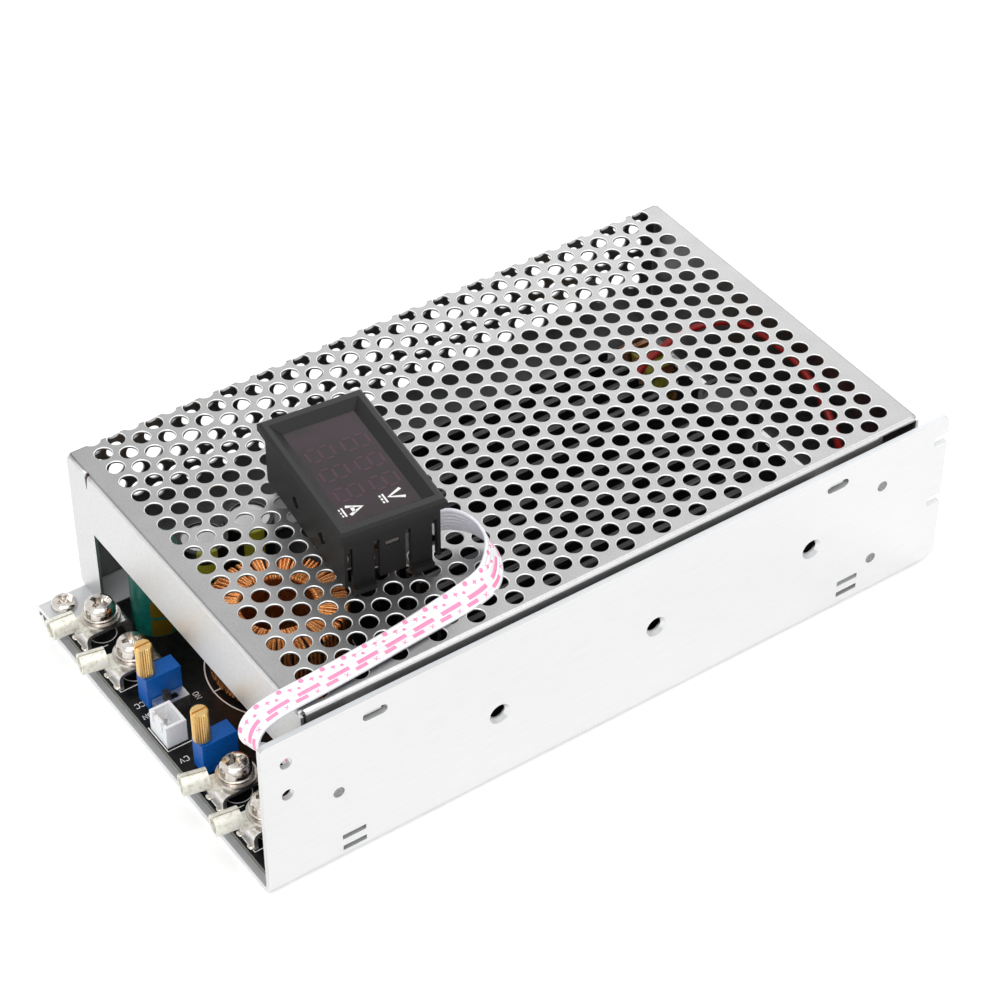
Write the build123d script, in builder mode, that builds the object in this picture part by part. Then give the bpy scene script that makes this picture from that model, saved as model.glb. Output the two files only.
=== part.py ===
"""Step-down converter module in a folded sheet case, with its panel meter resting on the cover.

Millimetres. X runs along the case from the terminals at -X to the notched rear end at +X.
Y runs across it from the tall side wall at -Y to the perforated side at +Y. Z is up.
The origin is the centre of the case's base, on the face that it stands on.
"""
import math
import os

from build123d import *

os.makedirs("parts", exist_ok=True)

# Case
case_length = 199.0
case_width = 110.0
case_height = 50.0
wall_height = 48.0
chassis_sheet = 1.5
chassis_bend = 1.6
flange_top = 7.0
flange_width = 11.6
flange_overhang = 0.8
wall_corner_radius = 1.5
rear_corner_chamfer = 3.4

# Ends and sides of the case, which the places below keep their distance from
case_front = -case_length / 2
case_rear = case_length / 2
case_near = -case_width / 2
case_far = case_width / 2

# Holes in the tall wall, as (x, z)
front_hole_radius = 1.6
front_hole_places = ((case_front + 6.4, 40.4), (case_front + 6.4, 30.3))
tab_slot_length = 6.6
tab_slot_height = 2.6
tab_slot_places = ((case_front + 30.0, 42.7), (case_rear - 35.2, 42.7))
side_mount_radius = 2.0
side_mount_sink = 2.9
side_mount_places = ((case_front + 64.0, 22.3), (9.9, 25.4), (case_rear - 41.9, 25.4))
wall_screw_places = ((case_front + 19.6, 22.9), (case_rear - 20.4, 35.2), (case_rear - 21.8, 11.9))
slit_length = 6.4
slit_height = 1.5
front_slit_x = case_front + 23.2
rear_slit_x = case_rear - 29.1
slit_places = ((front_slit_x, 7.3), (front_slit_x, 3.7), (rear_slit_x, 8.3), (rear_slit_x, 4.7))
notch_depth = 4.4
notch_height = 2.9
notch_levels = (41.4, 21.6)

# Holes in the bottom plate
base_mount_radius = 2.0
base_mount_spacing_x = case_length - 49.0
base_mount_spacing_y = case_width - 60.0

# Cover
cover_sheet = 0.8
cover_bend = 1.0
cover_front = case_front + 12.3
cover_rear = case_rear - 8.0
cover_wall_gap = 1.2
near_flange_depth = 9.0
near_flange_front = cover_front + 1.5
near_flange_rear = cover_rear - 11.5
apron_depth = 19.0
leg_width = 10.7
leg_chamfer = 2.2
slit_width = 1.5
slit_depth = 5.2
tab_width = 4.4
tab_clearance = 0.5

# Perforation of the cover: columns across the length, alternate ones half a pitch aside
hole_pitch = 9.6
hole_radius = 3.75
hole_sides = 6
field_margin_x = 8.0
field_margin_near = 4.8
field_margin_far = 5.2
side_field_top_gap = 4.4
side_rows = 2

# Circuit board
board_thickness = 1.6
board_top = 6.0
board_front = case_front + 0.6
board_rear = case_rear - 11.5
board_near_gap = 1.3
board_far_gap = 0.5
film_thickness = 0.2
film_clearance = 1.0
post_radius = 2.75
near_post_y = case_near + 9.0
far_post_y = case_far - 17.0
post_places = (
    (case_front + 35.5, near_post_y),
    (8.0, near_post_y),
    (case_rear - 17.5, near_post_y),
    (case_front + 74.5, far_post_y),
    (22.0, far_post_y),
    (case_rear - 43.5, far_post_y),
)
spigot_radius = 2.05

# Small screws of the board and the wall
small_thread_radius = 1.45
small_head_radius = 2.7
small_head_height = 1.9
small_recess_arm = 2.9
small_screw_grip = 2.4
recess_share = 0.24
recess_depth_share = 0.55
fit_clearance = 0.05
screw_clearance = 0.15

# Screw on the case flange
flange_screw_place = (case_front + 4.5, case_far - 5.1)
flange_screw_head_radius = 3.3
flange_screw_head_height = 2.2
flange_screw_thread_radius = 1.7
flange_screw_tip = 1.2
flange_screw_recess_arm = 3.5
flange_screw_turn = 20.0

# Screw terminals
terminal_x = case_front + 8.0
terminal_y = (case_far - 18.2, case_far - 34.3, case_near + 27.1, case_near + 13.2)
bracket_height = 5.0
bracket_sheet = 1.0
bracket_bend = 1.3
bracket_length = 12.4
bracket_width = 8.0
solder_tab_width = 1.4
solder_tab_offset = 2.3
tab_hole_clearance = 0.15
terminal_thread_radius = 2.0
terminal_screw_length = 6.0
terminal_head_radius = 4.0
terminal_head_height = 2.7
terminal_recess_arm = 4.2
terminal_screw_turns = (28.0, 77.0, 91.0, 56.0)
flat_washer_radius = 5.0
flat_washer_thickness = 0.8
spring_washer_radius = 3.6
spring_washer_thickness = 1.0
washer_hole_radius = 2.15

# Wire lugs
lug_angles = (4.0, 11.0, 13.0, 8.0)
palm_thickness = 0.9
palm_radius = 4.2
neck_width = 4.6
neck_length = 7.6
barrel_radius = 2.7
barrel_wall = 0.8
barrel_level = 2.6
barrel_start = 6.9
barrel_end = 13.4
seam_width = 0.35

# Trimmers and their knobs
trimmer_length = 9.5
trimmer_width = 4.8
trimmer_height = 10.0
trimmer_front = case_front + 4.1
trimmer_centres_y = {"current": terminal_y[1] - 11.4, "voltage": terminal_y[2] + 10.9}
trimmer_foot = 0.5
knob_x = trimmer_front + 1.4
knob_radius = 2.2
knob_height = 9.4
knob_stem_radius = 1.1
knob_stem_height = 1.2
knob_gap = 0.3
knob_groove_count = 18
knob_groove_depth = 0.3
knob_slot_width = 0.6
knob_slot_depth = 0.7

# White two-pin socket
socket_front = board_front + 0.9
socket_length = 8.0
socket_width = 5.6
socket_height = 6.6
socket_centre_y = -2.5
socket_wall = 0.8
socket_floor = 1.2
socket_notch = 1.0
pin_side = 0.64
pin_pitch = 2.5
pin_height = 4.6

# Slide switch
switch_centre_x = board_front + 8.6
switch_centre_y = trimmer_centres_y["current"] - 4.4
switch_length = 8.5
switch_width = 3.5
switch_height = 3.5
switch_shell = 0.3
slider_width = 1.5
slider_length = 1.6
slider_rise = 2.6
slider_travel = 2.0
slider_clearance = 0.1

# Main choke
choke_x = case_front + 39.0
choke_y = case_far - 52.0
choke_core_outer = 16.2
choke_core_inner = 10.2
choke_core_height = 17.4
choke_wire = 1.7
choke_turns = 24
choke_turn_width = 3.2
choke_gap = 0.1

# Filter choke at the rear
filter_x = case_rear - 28.5
filter_y = case_far - 24.0
filter_core_outer = 8.6
filter_core_inner = 4.6
filter_core_width = 7.0
filter_wire = 1.1
filter_turn_width = 2.1
filter_turns = 11

# Capacitors, as (x, y, radius, height)
capacitor_sizes = (
    (case_front + 21.9, case_far - 21.7, 6.4, 25.0),
    (case_front + 35.2, case_far - 23.2, 6.4, 22.0),
    (case_front + 48.5, case_far - 23.2, 6.4, 22.0),
    (case_rear - 31.5, -8.0, 8.0, 31.0),
)
capacitor_rim = 1.2
capacitor_recess = 0.5

# Heatsinks, with their fins along the case
heatsink_front = case_front + 63.5
heatsink_rear = case_rear - 47.5
heatsink_base_bottom = 16.0
heatsink_base = 3.0
heatsink_top = 39.0
heatsink_width = 28.0
heatsink_near_y = case_near + 29.0
heatsink_far_y = heatsink_near_y + 36.0
fin_count = 7
fin_thickness = 1.6
heatsink_foot_radius = 1.6
heatsink_foot_inset = 5.0

# Power transistors
device_width = 10.0
device_thickness = 4.4
device_body = 9.2
device_tab = 6.4
device_tab_thickness = 1.3
device_lead = 0.8
device_lead_pitch = 2.54
device_lead_length = 3.0
device_hole_radius = 1.75
power_device_x = (heatsink_front + 16.0, heatsink_rear - 28.0)

# Heat spreader plate at the rear of the tall wall
spreader_front = case_rear - 33.0
spreader_rear = case_rear - 9.5
spreader_thickness = 3.0
spreader_bottom = 7.0
spreader_top = 40.5

# Header and plug of the ribbon cable, at the board
header_x = case_front + 23.5
header_y = case_near + 13.0
header_length = 8.0
header_width = 6.0
header_height = 6.0
plug_length = 7.0
plug_width = 5.0
plug_height = 4.6

# Panel meter, resting on the cover
meter_x = case_front + 55.2
meter_y = -7.2
meter_angle = -6.7
meter_height = 21.0
meter_width = 27.2
meter_length = 45.0
bezel_thickness = 2.6
bezel_chamfer = 0.7
window_width = 18.6
window_length = 35.2
window_depth = 2.0
window_thickness = 1.0
window_slope = 2.4
body_inset = 1.3
body_wall = 1.3
rim_lift = 3.2
finger_width = 5.4
finger_slot = 1.4
finger_offset = 7.4
finger_slot_height = 11.5
hook_reach = 1.1
hook_height = 2.6
hook_thickness = 1.4
peep_width = 3.6
peep_height = 1.3
side_window = 2.8
side_window_places = (-9.0, 5.0)
cable_notch_width = 9.0
cable_notch_height = 8.4
cable_notch_y = -15.0
meter_board_thickness = 1.6
meter_board_drop = 7.0
display_height = 5.0
meter_plug_length = 6.0
meter_plug_width = 4.0
meter_plug_height = 8.0
meter_plug_x = 4.5

# Ribbon cable: the round tube has the same section area as the flat cable of six cores
ribbon_width = 7.0
ribbon_thickness = 0.9
ribbon_tube_radius = math.sqrt(ribbon_width * ribbon_thickness / math.pi)

# Insulated red lead under the cover
lead_radius = 1.0

# Levels and faces that several pieces share
wall_inner_y = case_near + chassis_sheet
board_bottom = board_top - board_thickness
board_near_y = wall_inner_y + board_near_gap
flange_inner_y = case_far - flange_width
board_far_y = flange_inner_y - board_far_gap
plate_top = board_top + bracket_height
palm_top = plate_top + palm_thickness
flat_washer_top = palm_top + flat_washer_thickness
spring_washer_top = flat_washer_top + spring_washer_thickness
cover_near_y = wall_inner_y + cover_wall_gap
cover_inner_top = case_height - cover_sheet
leg_y = case_far - leg_width
wall_plane = Plane.XZ.offset(case_far)
meter_place = Location((meter_x, meter_y, case_height), (0, 0, meter_angle))

# Chassis: bottom, tall wall, low far web and inward flange, folded from one sheet
with BuildPart() as chassis:
    with BuildSketch(Plane.YZ) as chassis_section:
        with BuildLine():
            FilletPolyline(
                (case_near + chassis_sheet / 2, wall_height),
                (case_near + chassis_sheet / 2, chassis_sheet / 2),
                (case_far - chassis_sheet / 2, chassis_sheet / 2),
                (case_far - chassis_sheet / 2, flange_top - chassis_sheet / 2),
                (flange_inner_y, flange_top - chassis_sheet / 2),
                radius=chassis_bend,
            )
        trace(line_width=chassis_sheet)
    extrude(amount=case_length / 2, both=True)
    wall_corners = chassis.edges().filter_by(Axis.Y).group_by(Axis.Z)[-1]
    fillet(wall_corners, radius=wall_corner_radius)
    with BuildSketch(Plane.YZ.offset(case_front)) as flange_end_section:
        with BuildLine():
            FilletPolyline(
                (case_far - chassis_sheet / 2, flange_top / 2),
                (case_far - chassis_sheet / 2, flange_top - chassis_sheet / 2),
                (flange_inner_y, flange_top - chassis_sheet / 2),
                radius=chassis_bend,
            )
        trace(line_width=chassis_sheet)
    extrude(amount=-flange_overhang)
    with BuildSketch(wall_plane) as wall_openings:
        with Locations(*front_hole_places):
            Circle(front_hole_radius)
        with Locations(*tab_slot_places):
            SlotOverall(tab_slot_length, tab_slot_height)
        with Locations(*slit_places):
            Rectangle(slit_length, slit_height)
        with Locations(*wall_screw_places):
            Circle(small_thread_radius + fit_clearance)
        with Locations(*[(case_rear, level) for level in notch_levels]):
            SlotOverall(2 * notch_depth, notch_height)
    extrude(amount=-chassis_sheet, mode=Mode.SUBTRACT)
    with Locations(wall_plane):
        with Locations(*side_mount_places):
            CounterSinkHole(side_mount_radius, side_mount_sink, depth=chassis_sheet)
    with BuildSketch(wall_plane) as rear_corner:
        with BuildLine():
            Polyline(
                (case_rear, 0),
                (case_rear, rear_corner_chamfer),
                (case_rear - rear_corner_chamfer, 0),
                close=True,
            )
        make_face()
    extrude(amount=-2 * chassis_sheet, mode=Mode.SUBTRACT)
    with BuildSketch(Plane.XY) as base_openings:
        with GridLocations(base_mount_spacing_x, base_mount_spacing_y, 2, 2):
            Circle(base_mount_radius)
        with Locations(*post_places):
            Circle(spigot_radius + fit_clearance)
    extrude(amount=chassis_sheet, mode=Mode.SUBTRACT)
    with BuildSketch(Plane.XY.offset(flange_top)) as flange_opening:
        with Locations(flange_screw_place):
            Circle(flange_screw_thread_radius + fit_clearance)
    extrude(amount=-chassis_sheet, mode=Mode.SUBTRACT)
chassis.part.label = "chassis"
export_step(chassis.part, "parts/chassis.step")

# Cover: top, far and rear walls, near flange, front apron and leg, folded from one perforated sheet
field_length = cover_rear - cover_front - 2 * field_margin_x
field_width = case_far - cover_near_y - field_margin_near - field_margin_far
column_step = hole_pitch * math.sqrt(3) / 2
hole_columns = int(field_length / column_step) + 1
hole_rows = int((field_width - hole_pitch / 2) / hole_pitch) + 1
field_x = (cover_front + cover_rear) / 2
field_y = (cover_near_y + field_margin_near + case_far - field_margin_far) / 2
side_field_z = cover_inner_top - side_field_top_gap - side_rows * hole_pitch / 2
with BuildPart() as cover:
    with BuildSketch(Plane.XY.offset(flange_top)) as cover_outline:
        with Locations(((cover_front + cover_rear) / 2, (cover_near_y + case_far) / 2)):
            Rectangle(cover_rear - cover_front, case_far - cover_near_y)
    extrude(amount=case_height - flange_top)
    fillet(cover.edges().group_by(Axis.Z)[-1], radius=cover_bend)
    with BuildSketch(Plane.XY.offset(flange_top)) as cover_hollow:
        with Locations(((cover_front + cover_rear) / 2, (cover_near_y + case_far) / 2)):
            Rectangle(
                cover_rear - cover_front - 2 * cover_sheet,
                case_far - cover_near_y - 2 * cover_sheet,
            )
    extrude(amount=cover_inner_top - flange_top, mode=Mode.SUBTRACT)
    with BuildSketch(Plane.XZ.offset(-cover_near_y)) as near_cut:
        with BuildLine():
            Polyline(
                (cover_front, flange_top),
                (cover_front, case_height - apron_depth),
                (cover_front + cover_sheet, case_height - apron_depth),
                (cover_front + cover_sheet, case_height - 2 * cover_bend),
                (near_flange_front, case_height - 2 * cover_bend),
                (near_flange_front, case_height - near_flange_depth),
                (near_flange_rear, case_height - near_flange_depth),
                (near_flange_rear, case_height - 2 * cover_bend),
                (cover_rear - cover_sheet, case_height - 2 * cover_bend),
                (cover_rear - cover_sheet, flange_top),
                close=True,
            )
        make_face()
    extrude(amount=-cover_sheet, mode=Mode.SUBTRACT)
    with BuildSketch(Plane.YZ.offset(cover_front)) as front_cut:
        with BuildLine():
            Polyline(
                (cover_near_y, flange_top),
                (cover_near_y, case_height - apron_depth),
                (leg_y, case_height - apron_depth),
                (leg_y, flange_top),
                close=True,
            )
            Polyline(
                (case_far - leg_chamfer, flange_top),
                (case_far, flange_top + leg_chamfer),
                (case_far, flange_top),
                close=True,
            )
        make_face()
    extrude(amount=cover_sheet, mode=Mode.SUBTRACT)
    with BuildSketch(Plane.YZ.offset(cover_front)) as corner_slit:
        with BuildLine():
            Polyline(
                (leg_y, case_height),
                (leg_y + slit_width, case_height),
                (leg_y + slit_width * 0.8, case_height - slit_depth),
                close=True,
            )
        make_face()
    extrude(amount=cover_sheet + cover_bend, mode=Mode.SUBTRACT)
    with BuildSketch(Plane.XY.offset(case_height)) as top_field:
        with Locations((field_x, field_y)):
            with HexLocations(hole_pitch / 2, hole_columns, hole_rows):
                RegularPolygon(hole_radius, hole_sides)
    extrude(amount=-cover_sheet, mode=Mode.SUBTRACT)
    with BuildSketch(Plane.XZ.offset(case_near)) as side_field:
        with Locations((field_x, side_field_z)):
            with HexLocations(hole_pitch / 2, hole_columns, side_rows):
                RegularPolygon(hole_radius, hole_sides)
    extrude(amount=cover_sheet, mode=Mode.SUBTRACT)
    with BuildSketch(Plane.XZ.offset(-cover_near_y)) as cover_tabs:
        with Locations(*tab_slot_places):
            Rectangle(tab_width, cover_sheet)
    extrude(amount=cover_wall_gap + chassis_sheet - tab_clearance)
cover.part.label = "cover"
export_step(cover.part, "parts/cover.step")

# Insulating film on the bottom plate, cut out round the board posts
with BuildPart() as insulating_film:
    with BuildSketch(Plane.XY.offset(chassis_sheet)):
        with Locations(((board_front + board_rear) / 2, (board_near_y + board_far_y) / 2)):
            Rectangle(board_rear - board_front - 2 * film_clearance, board_far_y - board_near_y)
        with Locations(*post_places):
            RegularPolygon(post_radius + film_clearance, 8, mode=Mode.SUBTRACT)
        with GridLocations(base_mount_spacing_x, base_mount_spacing_y, 2, 2):
            RegularPolygon(base_mount_radius + film_clearance, 8, mode=Mode.SUBTRACT)
    extrude(amount=film_thickness)
insulating_film.part.label = "insulating_film"
export_step(insulating_film.part, "parts/insulating_film.step")

# Circuit board, with holes for its screws and for the solder tabs of the terminals
bracket_leg_x = (bracket_length - bracket_sheet) / 2
tab_places = [
    (terminal_x + leg * bracket_leg_x, y + side * solder_tab_offset)
    for y in terminal_y
    for leg in (-1, 1)
    for side in (-1, 1)
]
with BuildPart() as circuit_board:
    with BuildSketch(Plane.XY.offset(board_bottom)):
        with Locations(((board_front + board_rear) / 2, (board_near_y + board_far_y) / 2)):
            Rectangle(board_rear - board_front, board_far_y - board_near_y)
        with Locations(*post_places):
            Circle(small_thread_radius + screw_clearance, mode=Mode.SUBTRACT)
        with Locations(*tab_places):
            Rectangle(
                bracket_sheet + 2 * tab_hole_clearance,
                solder_tab_width + 2 * tab_hole_clearance,
                mode=Mode.SUBTRACT,
            )
    extrude(amount=board_thickness)
circuit_board.part.label = "circuit_board"
export_step(circuit_board.part, "parts/circuit_board.step")

# Hexagonal threaded posts pressed into the bottom plate
with BuildPart() as board_posts:
    with BuildSketch(Plane.XY.offset(chassis_sheet)):
        with Locations(*post_places):
            RegularPolygon(post_radius, 6)
    extrude(amount=board_bottom - chassis_sheet)
    with BuildSketch(Plane.XY.offset(chassis_sheet)):
        with Locations(*post_places):
            Circle(spigot_radius)
    extrude(amount=-(chassis_sheet - fit_clearance))
    with BuildSketch(Plane.XY.offset(board_bottom)):
        with Locations(*post_places):
            Circle(small_thread_radius + fit_clearance)
    extrude(amount=-board_bottom, mode=Mode.SUBTRACT)
board_posts.part.label = "board_posts"
export_step(board_posts.part, "parts/board_posts.step")


def pan_head_screw(thread_radius, thread_length, head_radius, head_height, recess_arm):
    """Return a pan head screw with a cross recess, the underside of its head at the origin."""
    with BuildPart() as screw:
        with BuildSketch(Plane.XZ):
            with BuildLine():
                Polyline(
                    (0, -thread_length),
                    (thread_radius, -thread_length),
                    (thread_radius, 0),
                    (head_radius, 0),
                    (head_radius, 0.55 * head_height),
                    (0.9 * head_radius, 0.82 * head_height),
                    (0.68 * head_radius, head_height),
                    (0, head_height),
                    close=True,
                )
            make_face()
        revolve(axis=Axis.Z)
        with BuildSketch(Plane.XY.offset(head_height)):
            Rectangle(recess_arm, recess_share * recess_arm)
            Rectangle(recess_share * recess_arm, recess_arm)
        extrude(amount=-recess_depth_share * head_height, mode=Mode.SUBTRACT)
    return screw.part


# Pan head screws of the board
board_screw_form = pan_head_screw(
    small_thread_radius,
    board_thickness + small_screw_grip,
    small_head_radius,
    small_head_height,
    small_recess_arm,
)
with BuildPart() as board_screws:
    with Locations(*[(x, y, board_top) for x, y in post_places]):
        add(board_screw_form)
board_screws.part.label = "board_screws"
export_step(board_screws.part, "parts/board_screws.step")

# Pan head screw at the front corner of the case flange
flange_screw_form = pan_head_screw(
    flange_screw_thread_radius,
    chassis_sheet + flange_screw_tip,
    flange_screw_head_radius,
    flange_screw_head_height,
    flange_screw_recess_arm,
)
with BuildPart() as flange_screw:
    with Locations(Location((*flange_screw_place, flange_top), (0, 0, flange_screw_turn))):
        add(flange_screw_form)
flange_screw.part.label = "flange_screw"
export_step(flange_screw.part, "parts/flange_screw.step")

# Terminal brackets: a folded strip that bridges the board on two legs with solder tabs
with BuildPart() as bracket_form:
    with BuildSketch(Plane.XZ) as bracket_section:
        with BuildLine():
            FilletPolyline(
                (-bracket_leg_x, -bracket_height),
                (-bracket_leg_x, -bracket_sheet / 2),
                (bracket_leg_x, -bracket_sheet / 2),
                (bracket_leg_x, -bracket_height),
                radius=bracket_bend,
            )
        trace(line_width=bracket_sheet)
    extrude(amount=bracket_width / 2, both=True)
    with BuildSketch(Plane.XY.offset(-bracket_height)):
        with GridLocations(2 * bracket_leg_x, 2 * solder_tab_offset, 2, 2):
            Rectangle(bracket_sheet, solder_tab_width)
    extrude(amount=-board_thickness)
    with BuildSketch(Plane.XY):
        Circle(terminal_thread_radius + fit_clearance)
    extrude(amount=-bracket_sheet, mode=Mode.SUBTRACT)
for number, y in enumerate(terminal_y, 1):
    with BuildPart() as terminal_bracket:
        with Locations((terminal_x, y, plate_top)):
            add(bracket_form.part)
    terminal_bracket.part.label = f"terminal_bracket_{number}"
    export_step(terminal_bracket.part, f"parts/terminal_bracket_{number}.step")

# Wire lugs: a flat palm with a screw hole, and a rolled barrel with an open seam on top
with BuildPart() as lug_form:
    with BuildSketch(Plane.XY):
        Circle(palm_radius)
        with Locations((-neck_length / 2, 0)):
            Rectangle(neck_length, neck_width)
        Circle(washer_hole_radius, mode=Mode.SUBTRACT)
    extrude(amount=palm_thickness)
    with BuildSketch(Plane.YZ.offset(-barrel_end)):
        with Locations((0, barrel_level)):
            Circle(barrel_radius)
    extrude(amount=barrel_end - barrel_start)
    with BuildSketch(Plane.YZ.offset(-barrel_end)):
        with Locations((0, barrel_level)):
            Circle(barrel_radius - barrel_wall)
            with Locations((0, barrel_radius)):
                Rectangle(seam_width, 3 * barrel_wall)
    extrude(amount=barrel_end - barrel_start, mode=Mode.SUBTRACT)
for number, (y, angle) in enumerate(zip(terminal_y, lug_angles), 1):
    with BuildPart() as wire_lug:
        with Locations(Location((terminal_x, y, plate_top), (0, 0, -angle))):
            add(lug_form.part)
    wire_lug.part.label = f"wire_lug_{number}"
    export_step(wire_lug.part, f"parts/wire_lug_{number}.step")

# Flat washers, split spring washers and pan head screws of the terminals
with BuildPart() as flat_washers:
    with BuildSketch(Plane.XY.offset(palm_top)):
        with Locations(*[(terminal_x, y) for y in terminal_y]):
            Circle(flat_washer_radius)
            Circle(washer_hole_radius, mode=Mode.SUBTRACT)
    extrude(amount=flat_washer_thickness)
flat_washers.part.label = "flat_washers"
export_step(flat_washers.part, "parts/flat_washers.step")

with BuildPart() as spring_washers:
    with BuildSketch(Plane.XY.offset(flat_washer_top)):
        with Locations(*[(terminal_x, y) for y in terminal_y]):
            Circle(spring_washer_radius)
            Circle(washer_hole_radius, mode=Mode.SUBTRACT)
            with Locations((-spring_washer_radius, -spring_washer_radius / 2)):
                Rectangle(2 * spring_washer_radius, seam_width * 2, rotation=30, mode=Mode.SUBTRACT)
    extrude(amount=spring_washer_thickness)
spring_washers.part.label = "spring_washers"
export_step(spring_washers.part, "parts/spring_washers.step")

terminal_screw_form = pan_head_screw(
    terminal_thread_radius,
    terminal_screw_length,
    terminal_head_radius,
    terminal_head_height,
    terminal_recess_arm,
)
with BuildPart() as terminal_screws:
    for y, turn in zip(terminal_y, terminal_screw_turns):
        with Locations(Location((terminal_x, y, spring_washer_top), (0, 0, turn))):
            add(terminal_screw_form)
terminal_screws.part.label = "terminal_screws"
export_step(terminal_screws.part, "parts/terminal_screws.step")

# Trimmers: a block on a foot, with a round boss that the knob turns on
for name, y in trimmer_centres_y.items():
    with BuildPart() as trimmer:
        with BuildSketch(Plane.XY.offset(board_top)):
            with Locations((trimmer_front + trimmer_length / 2, y)):
                Rectangle(trimmer_length - 2 * trimmer_foot, trimmer_width - 2 * trimmer_foot)
        extrude(amount=trimmer_foot)
        with BuildSketch(Plane.XY.offset(board_top + trimmer_foot)):
            with Locations((trimmer_front + trimmer_length / 2, y)):
                Rectangle(trimmer_length, trimmer_width)
        extrude(amount=trimmer_height - trimmer_foot)
        with BuildSketch(Plane.XY.offset(board_top + trimmer_height)):
            with Locations((knob_x, y)):
                Circle(knob_stem_radius)
        extrude(amount=knob_stem_height)
    trimmer.part.label = f"{name}_trimmer"
    export_step(trimmer.part, f"parts/{name}_trimmer.step")
    knob_bottom = board_top + trimmer_height + knob_gap
    with BuildPart() as knob:
        with BuildSketch(Plane.XY.offset(knob_bottom)):
            with Locations((knob_x, y)):
                Circle(knob_radius)
                with PolarLocations(knob_radius, knob_groove_count):
                    Rectangle(2 * knob_groove_depth, 2 * knob_groove_depth, rotation=45, mode=Mode.SUBTRACT)
        extrude(amount=knob_height)
        with BuildSketch(Plane.XY.offset(knob_bottom + knob_height)):
            with Locations((knob_x, y)):
                Rectangle(2 * knob_radius, knob_slot_width)
        extrude(amount=-knob_slot_depth, mode=Mode.SUBTRACT)
        with BuildSketch(Plane.XY.offset(knob_bottom)):
            with Locations((knob_x, y)):
                Circle(knob_stem_radius + fit_clearance)
        extrude(amount=knob_stem_height, mode=Mode.SUBTRACT)
    knob.part.label = f"{name}_trimmer_knob"
    export_step(knob.part, f"parts/{name}_trimmer_knob.step")

# White two-pin socket, open on top, with a notch in the wall that faces the front
socket_centre_x = socket_front + socket_width / 2
with BuildPart() as signal_socket:
    with BuildSketch(Plane.XY.offset(board_top)):
        with Locations((socket_centre_x, socket_centre_y)):
            Rectangle(socket_width, socket_length)
    extrude(amount=socket_height)
    with BuildSketch(Plane.XY.offset(board_top + socket_floor)):
        with Locations((socket_centre_x, socket_centre_y)):
            Rectangle(socket_width - 2 * socket_wall, socket_length - 2 * socket_wall)
    extrude(amount=socket_height - socket_floor, mode=Mode.SUBTRACT)
    with BuildSketch(Plane.XY.offset(board_top + socket_height)):
        with Locations((socket_front + socket_wall / 2, socket_centre_y)):
            with GridLocations(socket_wall, socket_length / 2, 1, 2):
                Rectangle(socket_wall, socket_notch)
    extrude(amount=-socket_height / 2, mode=Mode.SUBTRACT)
    with BuildSketch(Plane.XY.offset(board_top)):
        with Locations((socket_centre_x, socket_centre_y)):
            with GridLocations(pin_pitch, pin_pitch, 1, 2):
                Rectangle(pin_side + 2 * fit_clearance, pin_side + 2 * fit_clearance)
    extrude(amount=socket_floor, mode=Mode.SUBTRACT)
signal_socket.part.label = "signal_socket"
export_step(signal_socket.part, "parts/signal_socket.step")

with BuildPart() as signal_pins:
    with BuildSketch(Plane.XY.offset(board_top)):
        with Locations((socket_centre_x, socket_centre_y)):
            with GridLocations(pin_pitch, pin_pitch, 1, 2):
                Rectangle(pin_side, pin_side)
    extrude(amount=pin_height)
signal_pins.part.label = "signal_pins"
export_step(signal_pins.part, "parts/signal_pins.step")

# Slide switch: plastic base, folded metal shell with a slot, and the slider in it
slider_slot_length = slider_length + slider_travel + 2 * slider_clearance
switch_top = board_top + switch_height
with BuildPart() as switch_base:
    with BuildSketch(Plane.XY.offset(board_top)):
        with Locations((switch_centre_x, switch_centre_y)):
            Rectangle(switch_length - 2 * switch_shell, switch_width - 2 * switch_shell)
    extrude(amount=switch_height - switch_shell)
    with BuildSketch(Plane.XY.offset(switch_top - switch_shell)):
        with Locations((switch_centre_x, switch_centre_y)):
            Rectangle(slider_slot_length, slider_width + 2 * slider_clearance)
    extrude(amount=-switch_height / 2, mode=Mode.SUBTRACT)
switch_base.part.label = "switch_base"
export_step(switch_base.part, "parts/switch_base.step")

with BuildPart() as switch_shell_frame:
    with BuildSketch(Plane.XY.offset(board_top)):
        with Locations((switch_centre_x, switch_centre_y)):
            Rectangle(switch_length, switch_width)
    extrude(amount=switch_height)
    with BuildSketch(Plane.XY.offset(board_top)):
        with Locations((switch_centre_x, switch_centre_y)):
            Rectangle(switch_length - 2 * switch_shell, switch_width - 2 * switch_shell)
    extrude(amount=switch_height - switch_shell, mode=Mode.SUBTRACT)
    with BuildSketch(Plane.XY.offset(switch_top)):
        with Locations((switch_centre_x, switch_centre_y)):
            Rectangle(slider_slot_length, slider_width + 2 * slider_clearance)
    extrude(amount=-switch_shell, mode=Mode.SUBTRACT)
switch_shell_frame.part.label = "switch_frame"
export_step(switch_shell_frame.part, "parts/switch_frame.step")

with BuildPart() as switch_slider:
    with BuildSketch(Plane.XY.offset(switch_top - switch_height / 2)):
        with Locations((switch_centre_x - slider_travel / 2, switch_centre_y)):
            Rectangle(slider_length, slider_width)
    extrude(amount=switch_height / 2 + slider_rise)
switch_slider.part.label = "switch_slider"
export_step(switch_slider.part, "parts/switch_slider.step")


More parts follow.
